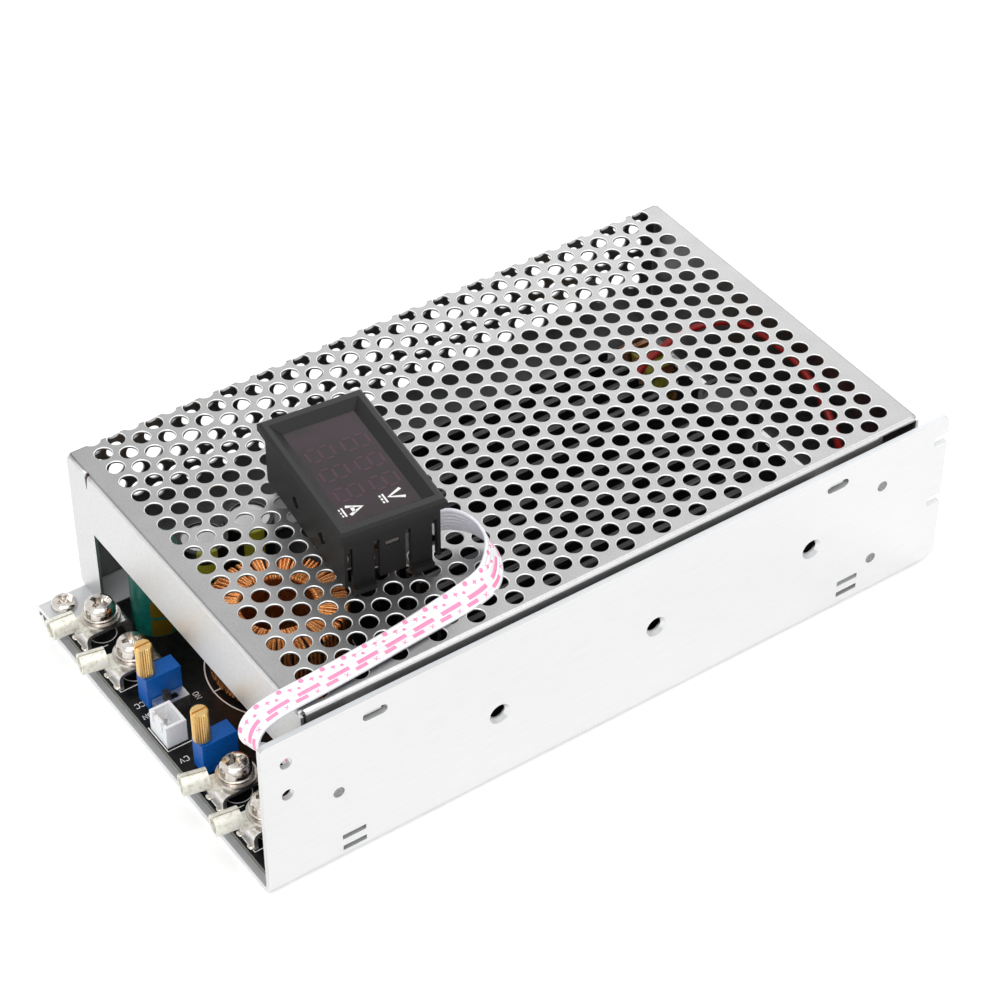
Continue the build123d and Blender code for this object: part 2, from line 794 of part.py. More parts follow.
def wire_turn(centre_radius, inner_width, inner_height, wire, turn_width):
    """Return one turn of wire round a core section, its outer corners cut back."""
    inside = centre_radius - inner_width / 2 - wire
    outside = centre_radius + inner_width / 2 + wire
    top = inner_height / 2 + wire
    with BuildPart() as turn:
        with BuildSketch(Plane.XZ):
            with BuildLine():
                Polyline(
                    (inside + wire, -top),
                    (outside - wire, -top),
                    (outside, wire - top),
                    (outside, top - wire),
                    (outside - wire, top),
                    (inside + wire, top),
                    (inside, top - wire),
                    (inside, wire - top),
                    close=True,
                )
            make_face()
            with Locations((centre_radius, 0)):
                Rectangle(inner_width, inner_height, mode=Mode.SUBTRACT)
        extrude(amount=turn_width / 2, both=True)
    return turn.part


# Main choke: a ring core lying flat, wound with heavy copper wire
choke_centre_z = board_top + choke_wire + choke_gap + choke_core_height / 2
choke_mid_radius = (choke_core_outer + choke_core_inner) / 2
with BuildPart() as choke_core:
    with BuildSketch(Plane.XY.offset(choke_centre_z - choke_core_height / 2)):
        with Locations((choke_x, choke_y)):
            Circle(choke_core_outer)
            Circle(choke_core_inner, mode=Mode.SUBTRACT)
    extrude(amount=choke_core_height)
choke_core.part.label = "choke_core"
export_step(choke_core.part, "parts/choke_core.step")

choke_turn = wire_turn(
    choke_mid_radius,
    choke_core_outer - choke_core_inner + 4 * choke_gap,
    choke_core_height + 2 * choke_gap,
    choke_wire,
    choke_turn_width,
)
with BuildPart() as choke_winding:
    with Locations((choke_x, choke_y, choke_centre_z)):
        with PolarLocations(0, choke_turns):
            add(choke_turn)
choke_winding.part.label = "choke_winding"
export_step(choke_winding.part, "parts/choke_winding.step")

# Filter choke: a small ring core standing on edge
filter_outer = filter_core_outer + filter_wire + choke_gap
filter_centre_z = board_top + filter_outer
filter_plane = Plane(origin=(filter_x, filter_y, filter_centre_z), x_dir=(0, 1, 0), z_dir=(1, 0, 0))
with BuildPart() as filter_core:
    with BuildSketch(filter_plane.offset(-filter_core_width / 2)):
        Circle(filter_core_outer)
        Circle(filter_core_inner, mode=Mode.SUBTRACT)
    extrude(amount=filter_core_width)
filter_core.part.label = "filter_core"
export_step(filter_core.part, "parts/filter_core.step")

filter_turn = wire_turn(
    (filter_core_outer + filter_core_inner) / 2,
    filter_core_outer - filter_core_inner + 2 * choke_gap,
    filter_core_width + 2 * choke_gap,
    filter_wire,
    filter_turn_width,
)
with BuildPart() as filter_winding:
    with Locations(filter_plane):
        with PolarLocations(0, filter_turns, start_angle=-90):
            add(filter_turn)
filter_winding.part.label = "filter_winding"
export_step(filter_winding.part, "parts/filter_winding.step")

# Capacitors: sleeved cans, their tops sunk inside the sleeve's rim
for number, (x, y, radius, height) in enumerate(capacitor_sizes, 1):
    with BuildPart() as capacitor:
        with BuildSketch(Plane.XY.offset(board_top)):
            with Locations((x, y)):
                Circle(radius)
        extrude(amount=height)
        with BuildSketch(Plane.XY.offset(board_top + height)):
            with Locations((x, y)):
                Circle(radius - capacitor_rim)
        extrude(amount=-capacitor_recess, mode=Mode.SUBTRACT)
    capacitor.part.label = f"capacitor_{number}"
    export_step(capacitor.part, f"parts/capacitor_{number}.step")

# Heatsinks: a base with upright fins, on four feet soldered to the board
heatsink_length = heatsink_rear - heatsink_front
heatsink_centre_x = (heatsink_rear + heatsink_front) / 2
fin_step = (heatsink_width - fin_thickness) / (fin_count - 1)
for name, y in (("near", heatsink_near_y), ("far", heatsink_far_y)):
    with BuildPart() as heatsink:
        with BuildSketch(Plane.XY.offset(heatsink_base_bottom)):
            with Locations((heatsink_centre_x, y)):
                Rectangle(heatsink_length, heatsink_width)
        extrude(amount=heatsink_base)
        with BuildSketch(Plane.XY.offset(heatsink_base_bottom + heatsink_base)):
            with Locations((heatsink_centre_x, y)):
                with GridLocations(heatsink_length, fin_step, 1, fin_count):
                    Rectangle(heatsink_length, fin_thickness)
        extrude(amount=heatsink_top - heatsink_base_bottom - heatsink_base)
        with BuildSketch(Plane.XY.offset(board_top)):
            with Locations((heatsink_centre_x, y)):
                with GridLocations(
                    heatsink_length - 2 * heatsink_foot_inset,
                    heatsink_width - 2 * heatsink_foot_inset,
                    2,
                    2,
                ):
                    Circle(heatsink_foot_radius)
        extrude(amount=heatsink_base_bottom - board_top)
    heatsink.part.label = f"heatsink_{name}"
    export_step(heatsink.part, f"parts/heatsink_{name}.step")

# Flat-pack power device: its tab's back is the plane z = 0 and the tab hole is at the origin
device_top = device_tab / 2
device_bottom = device_top - device_tab - device_body
with BuildPart() as device_form:
    with BuildSketch(Plane.XY):
        with Locations((0, device_top - device_tab / 2)):
            Rectangle(device_width, device_tab)
        Circle(device_hole_radius, mode=Mode.SUBTRACT)
    extrude(amount=device_tab_thickness)
    with BuildSketch(Plane.XY):
        with Locations((0, device_bottom + device_body / 2)):
            Rectangle(device_width, device_body)
    extrude(amount=device_thickness)
    with BuildSketch(Plane.XY.offset(device_thickness / 2)):
        with Locations((0, device_bottom - device_lead_length / 2)):
            with GridLocations(device_lead_pitch, 1, 3, 1):
                Rectangle(device_lead, device_lead_length)
    extrude(amount=device_lead / 2, both=True)

# Power devices screwed flat under the heatsinks, their leads bent down to the board
lead_turn = heatsink_base_bottom - board_top - device_thickness / 2
with BuildPart() as power_device_form:
    add(device_form.part)
    with BuildSketch(Plane.XY.offset(device_thickness / 2 - device_lead / 2)):
        with Locations((0, device_bottom - device_lead_length + device_lead / 2)):
            with GridLocations(device_lead_pitch, 1, 3, 1):
                Rectangle(device_lead, device_lead)
    extrude(amount=lead_turn + device_lead / 2)
power_device_places = [(x, y) for y in (heatsink_near_y, heatsink_far_y) for x in power_device_x]
for number, (x, y) in enumerate(power_device_places, 1):
    with BuildPart() as power_device:
        with Locations(Location((x, y, heatsink_base_bottom), (180, 0, 0))):
            add(power_device_form.part)
    power_device.part.label = f"power_device_{number}"
    export_step(power_device.part, f"parts/power_device_{number}.step")

# Device screwed to the tall wall, with straight leads down to the board
wall_device_x, wall_device_z = wall_screw_places[0]
wall_lead_bottom = wall_device_z + device_bottom - device_lead_length
with BuildPart() as wall_device:
    wall_device_place = (wall_device_x, wall_inner_y, wall_device_z)
    with Locations(Plane(origin=wall_device_place, x_dir=(-1, 0, 0), z_dir=(0, 1, 0))):
        add(device_form.part)
    with BuildSketch(Plane.XY.offset(board_top)):
        with Locations((wall_device_x, wall_inner_y + device_thickness / 2)):
            with GridLocations(device_lead_pitch, 1, 3, 1):
                Rectangle(device_lead, device_lead)
    extrude(amount=max(wall_lead_bottom - board_top, device_lead))
wall_device.part.label = "wall_device"
export_step(wall_device.part, "parts/wall_device.step")

# Heat spreader plate against the rear of the tall wall
with BuildPart() as heat_spreader:
    with BuildSketch(Plane.XZ.offset(-wall_inner_y)):
        with Locations(((spreader_front + spreader_rear) / 2, (spreader_bottom + spreader_top) / 2)):
            Rectangle(spreader_rear - spreader_front, spreader_top - spreader_bottom)
        with Locations(*wall_screw_places[1:]):
            Circle(small_thread_radius + screw_clearance, mode=Mode.SUBTRACT)
    extrude(amount=-spreader_thickness)
heat_spreader.part.label = "heat_spreader"
export_step(heat_spreader.part, "parts/heat_spreader.step")

# Screws that hold the device and the plate, driven from inside into the wall's threads
wall_screw_seats = (device_tab_thickness, spreader_thickness, spreader_thickness)
with BuildPart() as wall_screws:
    for (x, z), seat in zip(wall_screw_places, wall_screw_seats):
        with BuildSketch(Plane.XZ.offset(-wall_inner_y - seat)):
            with Locations((x, z)):
                Circle(small_thread_radius)
        extrude(amount=seat + chassis_sheet - fit_clearance)
        with BuildSketch(Plane.XZ.offset(-wall_inner_y - seat)):
            with Locations((x, z)):
                Circle(small_head_radius)
        extrude(amount=-small_head_height)
wall_screws.part.label = "wall_screws"
export_step(wall_screws.part, "parts/wall_screws.step")

# Header on the board and the ribbon cable's plug in it
with BuildPart() as ribbon_header:
    with BuildSketch(Plane.XY.offset(board_top)):
        with Locations((header_x, header_y)):
            Rectangle(header_length, header_width)
    extrude(amount=header_height)
ribbon_header.part.label = "ribbon_header"
export_step(ribbon_header.part, "parts/ribbon_header.step")

plug_top = board_top + header_height + plug_height
with BuildPart() as ribbon_plug:
    with BuildSketch(Plane.XY.offset(board_top + header_height)):
        with Locations((header_x, header_y)):
            Rectangle(plug_length, plug_width)
    extrude(amount=plug_height)
ribbon_plug.part.label = "ribbon_plug"
export_step(ribbon_plug.part, "parts/ribbon_plug.step")

# Panel meter case: a bezel over a hollow body with snap fingers at both ends
bezel_bottom = meter_height - bezel_thickness
window_top = meter_height - window_depth
body_width = meter_width - 2 * body_inset
body_length = meter_length - 2 * body_inset
with BuildPart() as meter_case_form:
    with BuildSketch(Plane.XY.offset(bezel_bottom)):
        Rectangle(meter_width, meter_length)
    extrude(amount=bezel_thickness)
    chamfer(meter_case_form.edges().group_by(Axis.Z)[-1], length=bezel_chamfer)
    with BuildSketch(Plane.XY.offset(rim_lift)):
        Rectangle(body_width, body_length)
    extrude(amount=bezel_bottom - rim_lift)
    with BuildSketch(Plane.XY.offset(rim_lift)):
        Rectangle(body_width - 2 * body_wall, body_length - 2 * body_wall)
    extrude(amount=bezel_bottom - rim_lift, mode=Mode.SUBTRACT)
    with BuildSketch(Plane.XY.offset(bezel_bottom)):
        Rectangle(window_width, window_length)
    extrude(amount=window_top - bezel_bottom, mode=Mode.SUBTRACT)
    with BuildSketch(Plane.XY.offset(window_top)):
        Rectangle(window_width, window_length)
    with BuildSketch(Plane.XY.offset(meter_height)):
        Rectangle(window_width + 2 * window_slope, window_length + 2 * window_slope)
    loft(mode=Mode.SUBTRACT)
    with BuildSketch(Plane.XZ.offset(body_length)) as finger_slots:
        with Locations((0, rim_lift + finger_slot_height / 2)):
            for centre in (-finger_offset, finger_offset):
                with Locations((centre, 0)):
                    with GridLocations(finger_width + finger_slot, 1, 2, 1):
                        Rectangle(finger_slot, finger_slot_height)
        with Locations((0, bezel_bottom - finger_slot_height / 2)):
            Rectangle(peep_width, peep_height)
    extrude(amount=-2 * body_length, mode=Mode.SUBTRACT)
    for end in (-1, 1):
        with BuildSketch(Plane.XY):
            with Locations((0, end * (body_length / 2 - hook_thickness / 2))):
                with GridLocations(2 * finger_offset, 1, 2, 1):
                    Rectangle(finger_width, hook_thickness)
        extrude(amount=rim_lift)
        with BuildSketch(Plane.XY):
            with Locations((0, end * (body_length / 2 + hook_reach / 2 - hook_thickness / 2))):
                with GridLocations(2 * finger_offset, 1, 2, 1):
                    Rectangle(finger_width, hook_thickness + hook_reach)
        extrude(amount=hook_height)
    foot_edges = meter_case_form.edges().filter_by(Axis.X).group_by(Axis.Z)[0]
    outer_foot_edges = foot_edges.group_by(Axis.Y)[0] + foot_edges.group_by(Axis.Y)[-1]
    chamfer(outer_foot_edges, length=hook_reach * 0.9)
    with BuildSketch(Plane.YZ.offset(-body_width)) as side_windows:
        with Locations(*[(y, rim_lift + finger_slot_height / 2) for y in side_window_places]):
            Rectangle(side_window, side_window, rotation=45)
    extrude(amount=body_width, mode=Mode.SUBTRACT)
    with BuildSketch(Plane.YZ.offset(body_width / 2 - 2 * body_wall)) as cable_notch:
        with Locations((cable_notch_y, rim_lift + cable_notch_height / 2)):
            Rectangle(cable_notch_width, cable_notch_height)
    extrude(amount=3 * body_wall, mode=Mode.SUBTRACT)
with BuildPart() as meter_case:
    with Locations(meter_place):
        add(meter_case_form.part)
meter_case.part.label = "meter_case"
export_step(meter_case.part, "parts/meter_case.step")

# Tinted window of the meter, sunk in the bezel, and the display block and board behind it
meter_board_top = bezel_bottom - meter_board_drop + bezel_thickness
with BuildPart() as meter_window_form:
    with BuildSketch(Plane.XY.offset(window_top - window_thickness)):
        Rectangle(window_width, window_length)
    extrude(amount=window_thickness)
with BuildPart() as meter_window:
    with Locations(meter_place):
        add(meter_window_form.part)
meter_window.part.label = "meter_window"
export_step(meter_window.part, "parts/meter_window.step")

with BuildPart() as meter_display_form:
    with BuildSketch(Plane.XY.offset(meter_board_top)):
        Rectangle(window_width - 1, window_length - 1)
    extrude(amount=window_top - window_thickness - meter_board_top)
with BuildPart() as meter_display:
    with Locations(meter_place):
        add(meter_display_form.part)
meter_display.part.label = "meter_display"
export_step(meter_display.part, "parts/meter_display.step")

with BuildPart() as meter_board_form:
    with BuildSketch(Plane.XY.offset(meter_board_top)):
        Rectangle(body_width - 2 * body_wall, body_length - 2 * body_wall)
    extrude(amount=-meter_board_thickness)
with BuildPart() as meter_board:
    with Locations(meter_place):
        add(meter_board_form.part)
meter_board.part.label = "meter_board"
export_step(meter_board.part, "parts/meter_board.step")

# Plug under the meter's board, where the ribbon cable starts
meter_plug_top = meter_board_top - meter_board_thickness
with BuildPart() as meter_plug_form:
    with BuildSketch(Plane.XY.offset(meter_plug_top)):
        with Locations((meter_plug_x, cable_notch_y)):
            Rectangle(meter_plug_length, meter_plug_width)
    extrude(amount=-meter_plug_height)
with BuildPart() as meter_plug:
    with Locations(meter_place):
        add(meter_plug_form.part)
meter_plug.part.label = "meter_plug"
export_step(meter_plug.part, "parts/meter_plug.step")


def arc_radii(points):
    """Give each corner of a route the arc that 0.45 of its shorter run allows."""
    route = [Vector(*point) for point in points]
    radii = []
    for before, corner, after in zip(route, route[1:], route[2:]):
        run_in = corner - before
        run_out = after - corner
        turn = math.radians(run_in.get_angle(run_out))
        radii.append(0.45 * min(run_in.length, run_out.length) / math.tan(turn / 2))
    return radii


def tube_along(points, radius):
    """Sweep a round section along straight runs joined by tangent arcs."""
    radii = arc_radii(points)
    with BuildPart() as tube:
        with BuildLine() as route:
            FilletPolyline(*points, radius=radii)
        with BuildSketch(Plane(origin=points[0], z_dir=route.line % 0)):
            Circle(radius)
        sweep(path=route.line)
    length = sum(edge.length for edge in route.edges())
    print(f"route length {length:.1f} mm, arc radii", [round(value, 1) for value in radii])
    print(f"volume {tube.part.volume:.1f} mm3 of {math.pi * radius ** 2 * length:.1f} mm3")
    return tube


# Ribbon cable, from the meter's plug round a loop, along the cover and down into the front
ribbon_exit_height = 8.2
ribbon_start_x = meter_plug_x + meter_plug_length / 2
ribbon_exit_x = body_width / 2 + 2.0
ribbon_start = meter_place * Location((ribbon_start_x, cable_notch_y, ribbon_exit_height))
ribbon_exit = meter_place * Location((ribbon_exit_x, cable_notch_y, ribbon_exit_height))
ribbon_rest = case_height + ribbon_tube_radius + 0.3
ribbon_points = (
    tuple(ribbon_start.position),
    tuple(ribbon_exit.position),
    (case_front + 73.1, -25.4, 57.2),
    (case_front + 76.7, -29.4, 55.6),
    (case_front + 77.5, -34.6, 53.9),
    (case_front + 74.7, case_near + 15.8, 52.7),
    (case_front + 69.5, case_near + 13.0, ribbon_rest),
    (case_front + 59.5, case_near + 11.6, ribbon_rest),
    (case_front + 39.5, case_near + 9.4, ribbon_rest),
    (case_front + 19.5, case_near + 7.9, ribbon_rest),
    (case_front + 8.5, case_near + 7.8, 51.6),
    (case_front + 1.1, case_near + 7.6, 48.8),
    (case_front - 0.9, case_near + 7.0, 42.4),
    (case_front + 3.1, case_near + 6.4, 36.0),
    (case_front + 7.9, case_near + 6.8, 29.8),
    (case_front + 12.5, case_near + 8.4, 26.4),
    (case_front + 19.1, case_near + 11.6, 25.2),
    (header_x, header_y, 22.6),
    (header_x, header_y, plug_top),
)
ribbon_cable = tube_along(ribbon_points, ribbon_tube_radius)
ribbon_cable.part.label = "ribbon_cable"
export_step(ribbon_cable.part, "parts/ribbon_cable.step")

# Red lead, from the board beside the spreader, along the rear apron and back to the board
lead_points = (
    (case_rear - 14.5, -34.0, board_top),
    (case_rear - 14.5, -34.0, 30.0),
    (case_rear - 11.1, -12.0, 41.4),
    (case_rear - 13.1, 12.0, 41.0),
    (case_rear - 23.5, 20.4, 37.0),
    (case_rear - 42.3, 19.4, 31.0),
    (case_rear - 42.3, 19.4, board_top),
)
red_lead = tube_along(lead_points, lead_radius)
red_lead.part.label = "red_lead"
export_step(red_lead.part, "parts/red_lead.step")
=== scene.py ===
"""Looks of the step-down converter module: ribbon cable, perforated sheet, winding, screws and finishes."""
import math
import random

import bmesh
import bpy
from mathutils import Matrix, Vector
from mathutils.geometry import delaunay_2d_cdt


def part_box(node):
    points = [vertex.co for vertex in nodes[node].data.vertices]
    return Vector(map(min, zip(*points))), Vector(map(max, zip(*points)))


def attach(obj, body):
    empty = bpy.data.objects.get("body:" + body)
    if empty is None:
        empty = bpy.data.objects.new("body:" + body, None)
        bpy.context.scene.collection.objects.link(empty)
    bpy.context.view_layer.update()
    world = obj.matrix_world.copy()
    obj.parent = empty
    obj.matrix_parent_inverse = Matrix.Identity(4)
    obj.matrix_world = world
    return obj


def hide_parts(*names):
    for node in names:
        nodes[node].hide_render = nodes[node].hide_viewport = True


MM = 0.001
random.seed(11)

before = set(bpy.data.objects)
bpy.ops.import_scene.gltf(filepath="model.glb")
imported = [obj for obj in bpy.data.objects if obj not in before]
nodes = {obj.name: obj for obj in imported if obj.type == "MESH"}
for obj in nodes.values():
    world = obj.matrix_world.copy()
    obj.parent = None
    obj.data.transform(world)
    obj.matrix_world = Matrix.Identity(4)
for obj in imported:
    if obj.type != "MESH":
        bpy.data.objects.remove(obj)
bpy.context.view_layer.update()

# Places shared with the part's source, in millimetres
CASE_TOP = 50.0
HALF_WIDTH = 55.0
METER_PLACE = Matrix.Translation((-44.3, -7.2, CASE_TOP)) @ Matrix.Rotation(math.radians(-6.7), 4, "Z")
WINDOW_TOP = 19.0
BOARD_TOP = 6.0
CHOKE_CENTRE = Vector((-60.5, 3.0, 16.5))

# Camera, high over the near side, turned towards the front end
CAMERA_AZIMUTH = -34.737
CAMERA_ELEVATION = 41.893
CAMERA_DISTANCE = 748.3
CAMERA_SHIFT_RIGHT = 2.149
CAMERA_SHIFT_UP = 4.155
CAMERA_TARGET = Vector((0.0, 0.0, 25.0))
CAMERA_LENS = 108.34


def make_camera():
    """Place the camera at its viewpoint."""
    azimuth = math.radians(CAMERA_AZIMUTH)
    elevation = math.radians(CAMERA_ELEVATION)
    back = Vector((
        math.sin(azimuth) * math.cos(elevation),
        -math.cos(azimuth) * math.cos(elevation),
        math.sin(elevation),
    ))
    right = (-back).cross(Vector((0, 0, 1))).normalized()
    up = right.cross(-back)
    data = bpy.data.cameras.new("camera")
    data.lens = CAMERA_LENS
    data.sensor_width = 36.0
    data.clip_start = 0.01
    data.clip_end = 20.0
    camera = new_object("camera", data)
    place = CAMERA_TARGET + back * CAMERA_DISTANCE + right * CAMERA_SHIFT_RIGHT + up * CAMERA_SHIFT_UP
    camera.location = place * MM
    camera.rotation_euler = (-back).to_track_quat("-Z", "Y").to_euler()
    bpy.context.scene.camera = camera


# Materials

class Paint:
    """A material's node tree with short ways to add nodes to it."""

    def __init__(self, name, colour, metallic=0.0, roughness=0.5, **values):
        self.material = bpy.data.materials.new(name)
        self.material.use_nodes = True
        self.tree = self.material.node_tree
        self.shader = self.tree.nodes["Principled BSDF"]
        self.shader.inputs["Base Color"].default_value = (*colour, 1.0)
        self.shader.inputs["Metallic"].default_value = metallic
        self.shader.inputs["Roughness"].default_value = roughness
        for socket, value in values.items():
            self.shader.inputs[socket.replace("_", " ")].default_value = value

    def node(self, kind, **values):
        """Add a node, with its settings and the values of its sockets."""
        made = self.tree.nodes.new(kind)
        for key, value in values.items():
            if hasattr(made, key):
                setattr(made, key, value)
            else:
                made.inputs[key.replace("_", " ")].default_value = value
        return made

    def link(self, source, target):
        self.tree.links.new(source, target)

    def feed(self, value, target):
        """Feed a socket from another one, or set it to a colour or a number."""
        if isinstance(value, bpy.types.NodeSocket):
            self.link(value, target)
        else:
            target.default_value = (*value, 1.0) if isinstance(value, tuple) else value

    def noise(self, scale, stretch=(1, 1, 1), detail=4.0):
        """Noise over the object, its scale in cells per millimetre."""
        mapping = self.node("ShaderNodeMapping", Scale=[value / MM for value in stretch])
        self.link(self.node("ShaderNodeTexCoord").outputs["Object"], mapping.inputs["Vector"])
        made = self.node("ShaderNodeTexNoise", Scale=scale, Detail=detail)
        self.link(mapping.outputs["Vector"], made.inputs["Vector"])
        return made.outputs["Fac"]

    def ramp(self, source, low, high, start=0.35, end=0.65):
        """Colour between two colours as the source goes from start to end."""
        made = self.node("ShaderNodeValToRGB")
        for element, place, colour in zip(made.color_ramp.elements, (start, end), (low, high)):
            element.position = place
            element.color = (*colour, 1.0)
        self.link(source, made.inputs["Fac"])
        return made.outputs["Color"]

    def spread(self, source, low, high):
        """Map a 0 to 1 source to a range of values."""
        made = self.node("ShaderNodeMapRange", To_Min=low, To_Max=high)
        self.link(source, made.inputs["Value"])
        return made.outputs["Result"]

    def mix(self, mask, first, second):
        """Mix two colours by a mask; each may be a socket or a value."""
        made = self.node("ShaderNodeMix", data_type="RGBA")
        for value, name in ((mask, "Factor"), (first, "A"), (second, "B")):
            self.feed(value, made.inputs[name])
        return made.outputs["Result"]

    def math(self, operation, first, second=0.0):
        """One math node on sockets or plain numbers."""
        made = self.node("ShaderNodeMath", operation=operation)
        for value, target in zip((first, second), made.inputs):
            self.feed(value, target)
        return made.outputs[0]

    def parts(self, vector):
        """Components of a vector."""
        made = self.node("ShaderNodeSeparateXYZ")
        self.link(vector, made.inputs["Vector"])
        return made.outputs

    def facing(self):
        """Components of the surface normal."""
        return self.parts(self.node("ShaderNodeNewGeometry").outputs["Normal"])

    def colour(self, source):
        self.link(source, self.shader.inputs["Base Color"])

    def roughness(self, source, low, high):
        self.link(self.spread(source, low, high), self.shader.inputs["Roughness"])

    def bump(self, source, height, strength=1.0):
        """Bump from a source, its height in millimetres."""
        made = self.node("ShaderNodeBump", Strength=strength, Distance=height * MM)
        self.link(source, made.inputs["Height"])
        self.link(made.outputs["Normal"], self.shader.inputs["Normal"])


def grey(value, warmth=0.0):
    """A grey in linear light, a little warm or cool."""
    return (value * (1 + warmth), value, value * (1 - warmth))


def case_aluminium():
    """Brushed aluminium; its level faces, on the bottom and the flange, are painted a darker grey with little
    metal: painted light and shade that sets how bright they look.
    """
    paint = Paint("case_aluminium", grey(0.72), metallic=1.0, roughness=0.34)
    grain = paint.noise(3.0, (0.04, 1, 1), 6.0)
    # Level faces: a darker, mostly non-metallic grey, painted light and shade set for how light falls on them
    level = paint.math("GREATER_THAN", paint.facing()["Z"], 0.5)
    paint.colour(paint.mix(level, paint.ramp(grain, grey(0.71), grey(0.74)), grey(0.56, -0.02)))
    paint.link(paint.spread(level, 1.0, 0.25), paint.shader.inputs["Metallic"])
    paint.roughness(grain, 0.30, 0.38)
    paint.bump(grain, 0.005, 0.12)
    return paint.material


def zinc_sheet():
    paint = Paint("zinc_sheet", grey(0.30), metallic=1.0, roughness=0.42)
    speck = paint.noise(2.2, detail=8.0)
    cloud = paint.noise(0.12, detail=3.0)
    specks = paint.ramp(speck, grey(0.22), grey(0.35), 0.3, 0.7)
    clouds = paint.ramp(cloud, grey(0.27), grey(0.33), 0.3, 0.7)
    paint.colour(paint.mix(0.5, specks, clouds))
    paint.roughness(speck, 0.34, 0.50)
    paint.bump(speck, 0.02, 0.4)
    return paint.material


def finish(
    name, low, high, metallic, gloss, scale, detail, bump=None, ends=(0.35, 0.65), stretch=(1, 1, 1), **values
):
    """A surface whose colour and gloss vary a little between two limits each."""
    paint = Paint(name, high, metallic, **values)
    grain = paint.noise(scale, stretch, detail)
    paint.colour(paint.ramp(grain, low, high, *ends))
    paint.roughness(grain, *gloss)
    if bump:
        paint.bump(grain, *bump)
    return paint.material


def enamelled(name, low, high):
    """Copper wire under clear enamel."""
    return finish(name, low, high, 0.85, (0.16, 0.28), 0.25, 3.0, Coat_Weight=0.2)


def plastic(name, low, high, roughness=0.45, texture=0.02, scale=2.0, **values):
    """A moulding of one colour."""
    gloss = (roughness * 0.8, roughness * 1.2)
    return finish(name, low, high, 0.0, gloss, scale, 5.0, (texture, 0.5), **values)


def circuit_board():
    """Black solder mask on top, dark glass fibre on the cut edges, and a pale grey underside, painted light
    that brightens its reflection in the chassis floor below.
    """
    paint = Paint("circuit_board", (0.006, 0.0065, 0.007), roughness=0.32, Specular_IOR_Level=0.15)
    facing = paint.facing()
    edge = paint.math("LESS_THAN", paint.math("ABSOLUTE", facing["Z"]), 0.5)
    grain = paint.noise(0.6, detail=6.0)
    mask = paint.ramp(grain, (0.003, 0.0035, 0.004), (0.009, 0.0095, 0.010))
    fibre = paint.ramp(paint.noise(3.0, (0.2, 0.2, 3), 4.0), (0.05, 0.05, 0.045), (0.12, 0.12, 0.10))
    # Underside: a pale grey, painted light that brightens its reflection in the chassis floor below
    painted_light_underside = paint.math("LESS_THAN", facing["Z"], -0.5)
    paint.colour(paint.mix(painted_light_underside, paint.mix(edge, mask, fibre), grey(0.62)))
    paint.bump(grain, 0.02, 0.4)
    return paint.material


# Printed stripe of a capacitor's sleeve: its place round the can and its dashes
STRIPE_TURN = -1.9
STRIPE_HALF = 0.42
DASHES_PER_METRE = 160.0
DASH_SHARE = 0.86
SLEEVE_RIM = 1.15


def sleeve(name, low, high, stripe, top, centre, radius):
    """A capacitor's shrink sleeve with a printed stripe, and the can's top inside its rim."""
    paint = Paint(name, high, roughness=0.28, Specular_IOR_Level=0.4)
    place = paint.parts(paint.node("ShaderNodeTexCoord").outputs["Object"])
    x = paint.math("SUBTRACT", place["X"], centre[0] * MM)
    y = paint.math("SUBTRACT", place["Y"], centre[1] * MM)
    aside = paint.math("SUBTRACT", paint.math("ARCTAN2", y, x), STRIPE_TURN)
    in_stripe = paint.math("LESS_THAN", paint.math("ABSOLUTE", aside), STRIPE_HALF)
    along = paint.math("FRACT", paint.math("MULTIPLY", place["Z"], DASHES_PER_METRE))
    dash = paint.math("LESS_THAN", along, DASH_SHARE)
    grain = paint.noise(0.7, detail=4.0)
    body = paint.ramp(grain, low, high)
    printed = paint.mix(paint.math("MULTIPLY", in_stripe, dash), body, stripe)
    reach = paint.math("SQRT", paint.math("ADD", paint.math("MULTIPLY", x, x), paint.math("MULTIPLY", y, y)))
    on_top = paint.math(
        "MULTIPLY",
        paint.math("GREATER_THAN", paint.facing()["Z"], 0.5),
        paint.math("LESS_THAN", reach, (radius - SLEEVE_RIM) * MM),
    )
    paint.colour(paint.mix(on_top, printed, grey(top)))
    paint.link(on_top, paint.shader.inputs["Metallic"])
    paint.bump(grain, 0.02, 0.3)
    return paint.material


# Marks on the cable: the plain length at the meter, and the distance from bar to bar and dot to dot
PRINT_START = 9.0
BAR_PITCH = 8.1
DOT_PITCH = 5.9


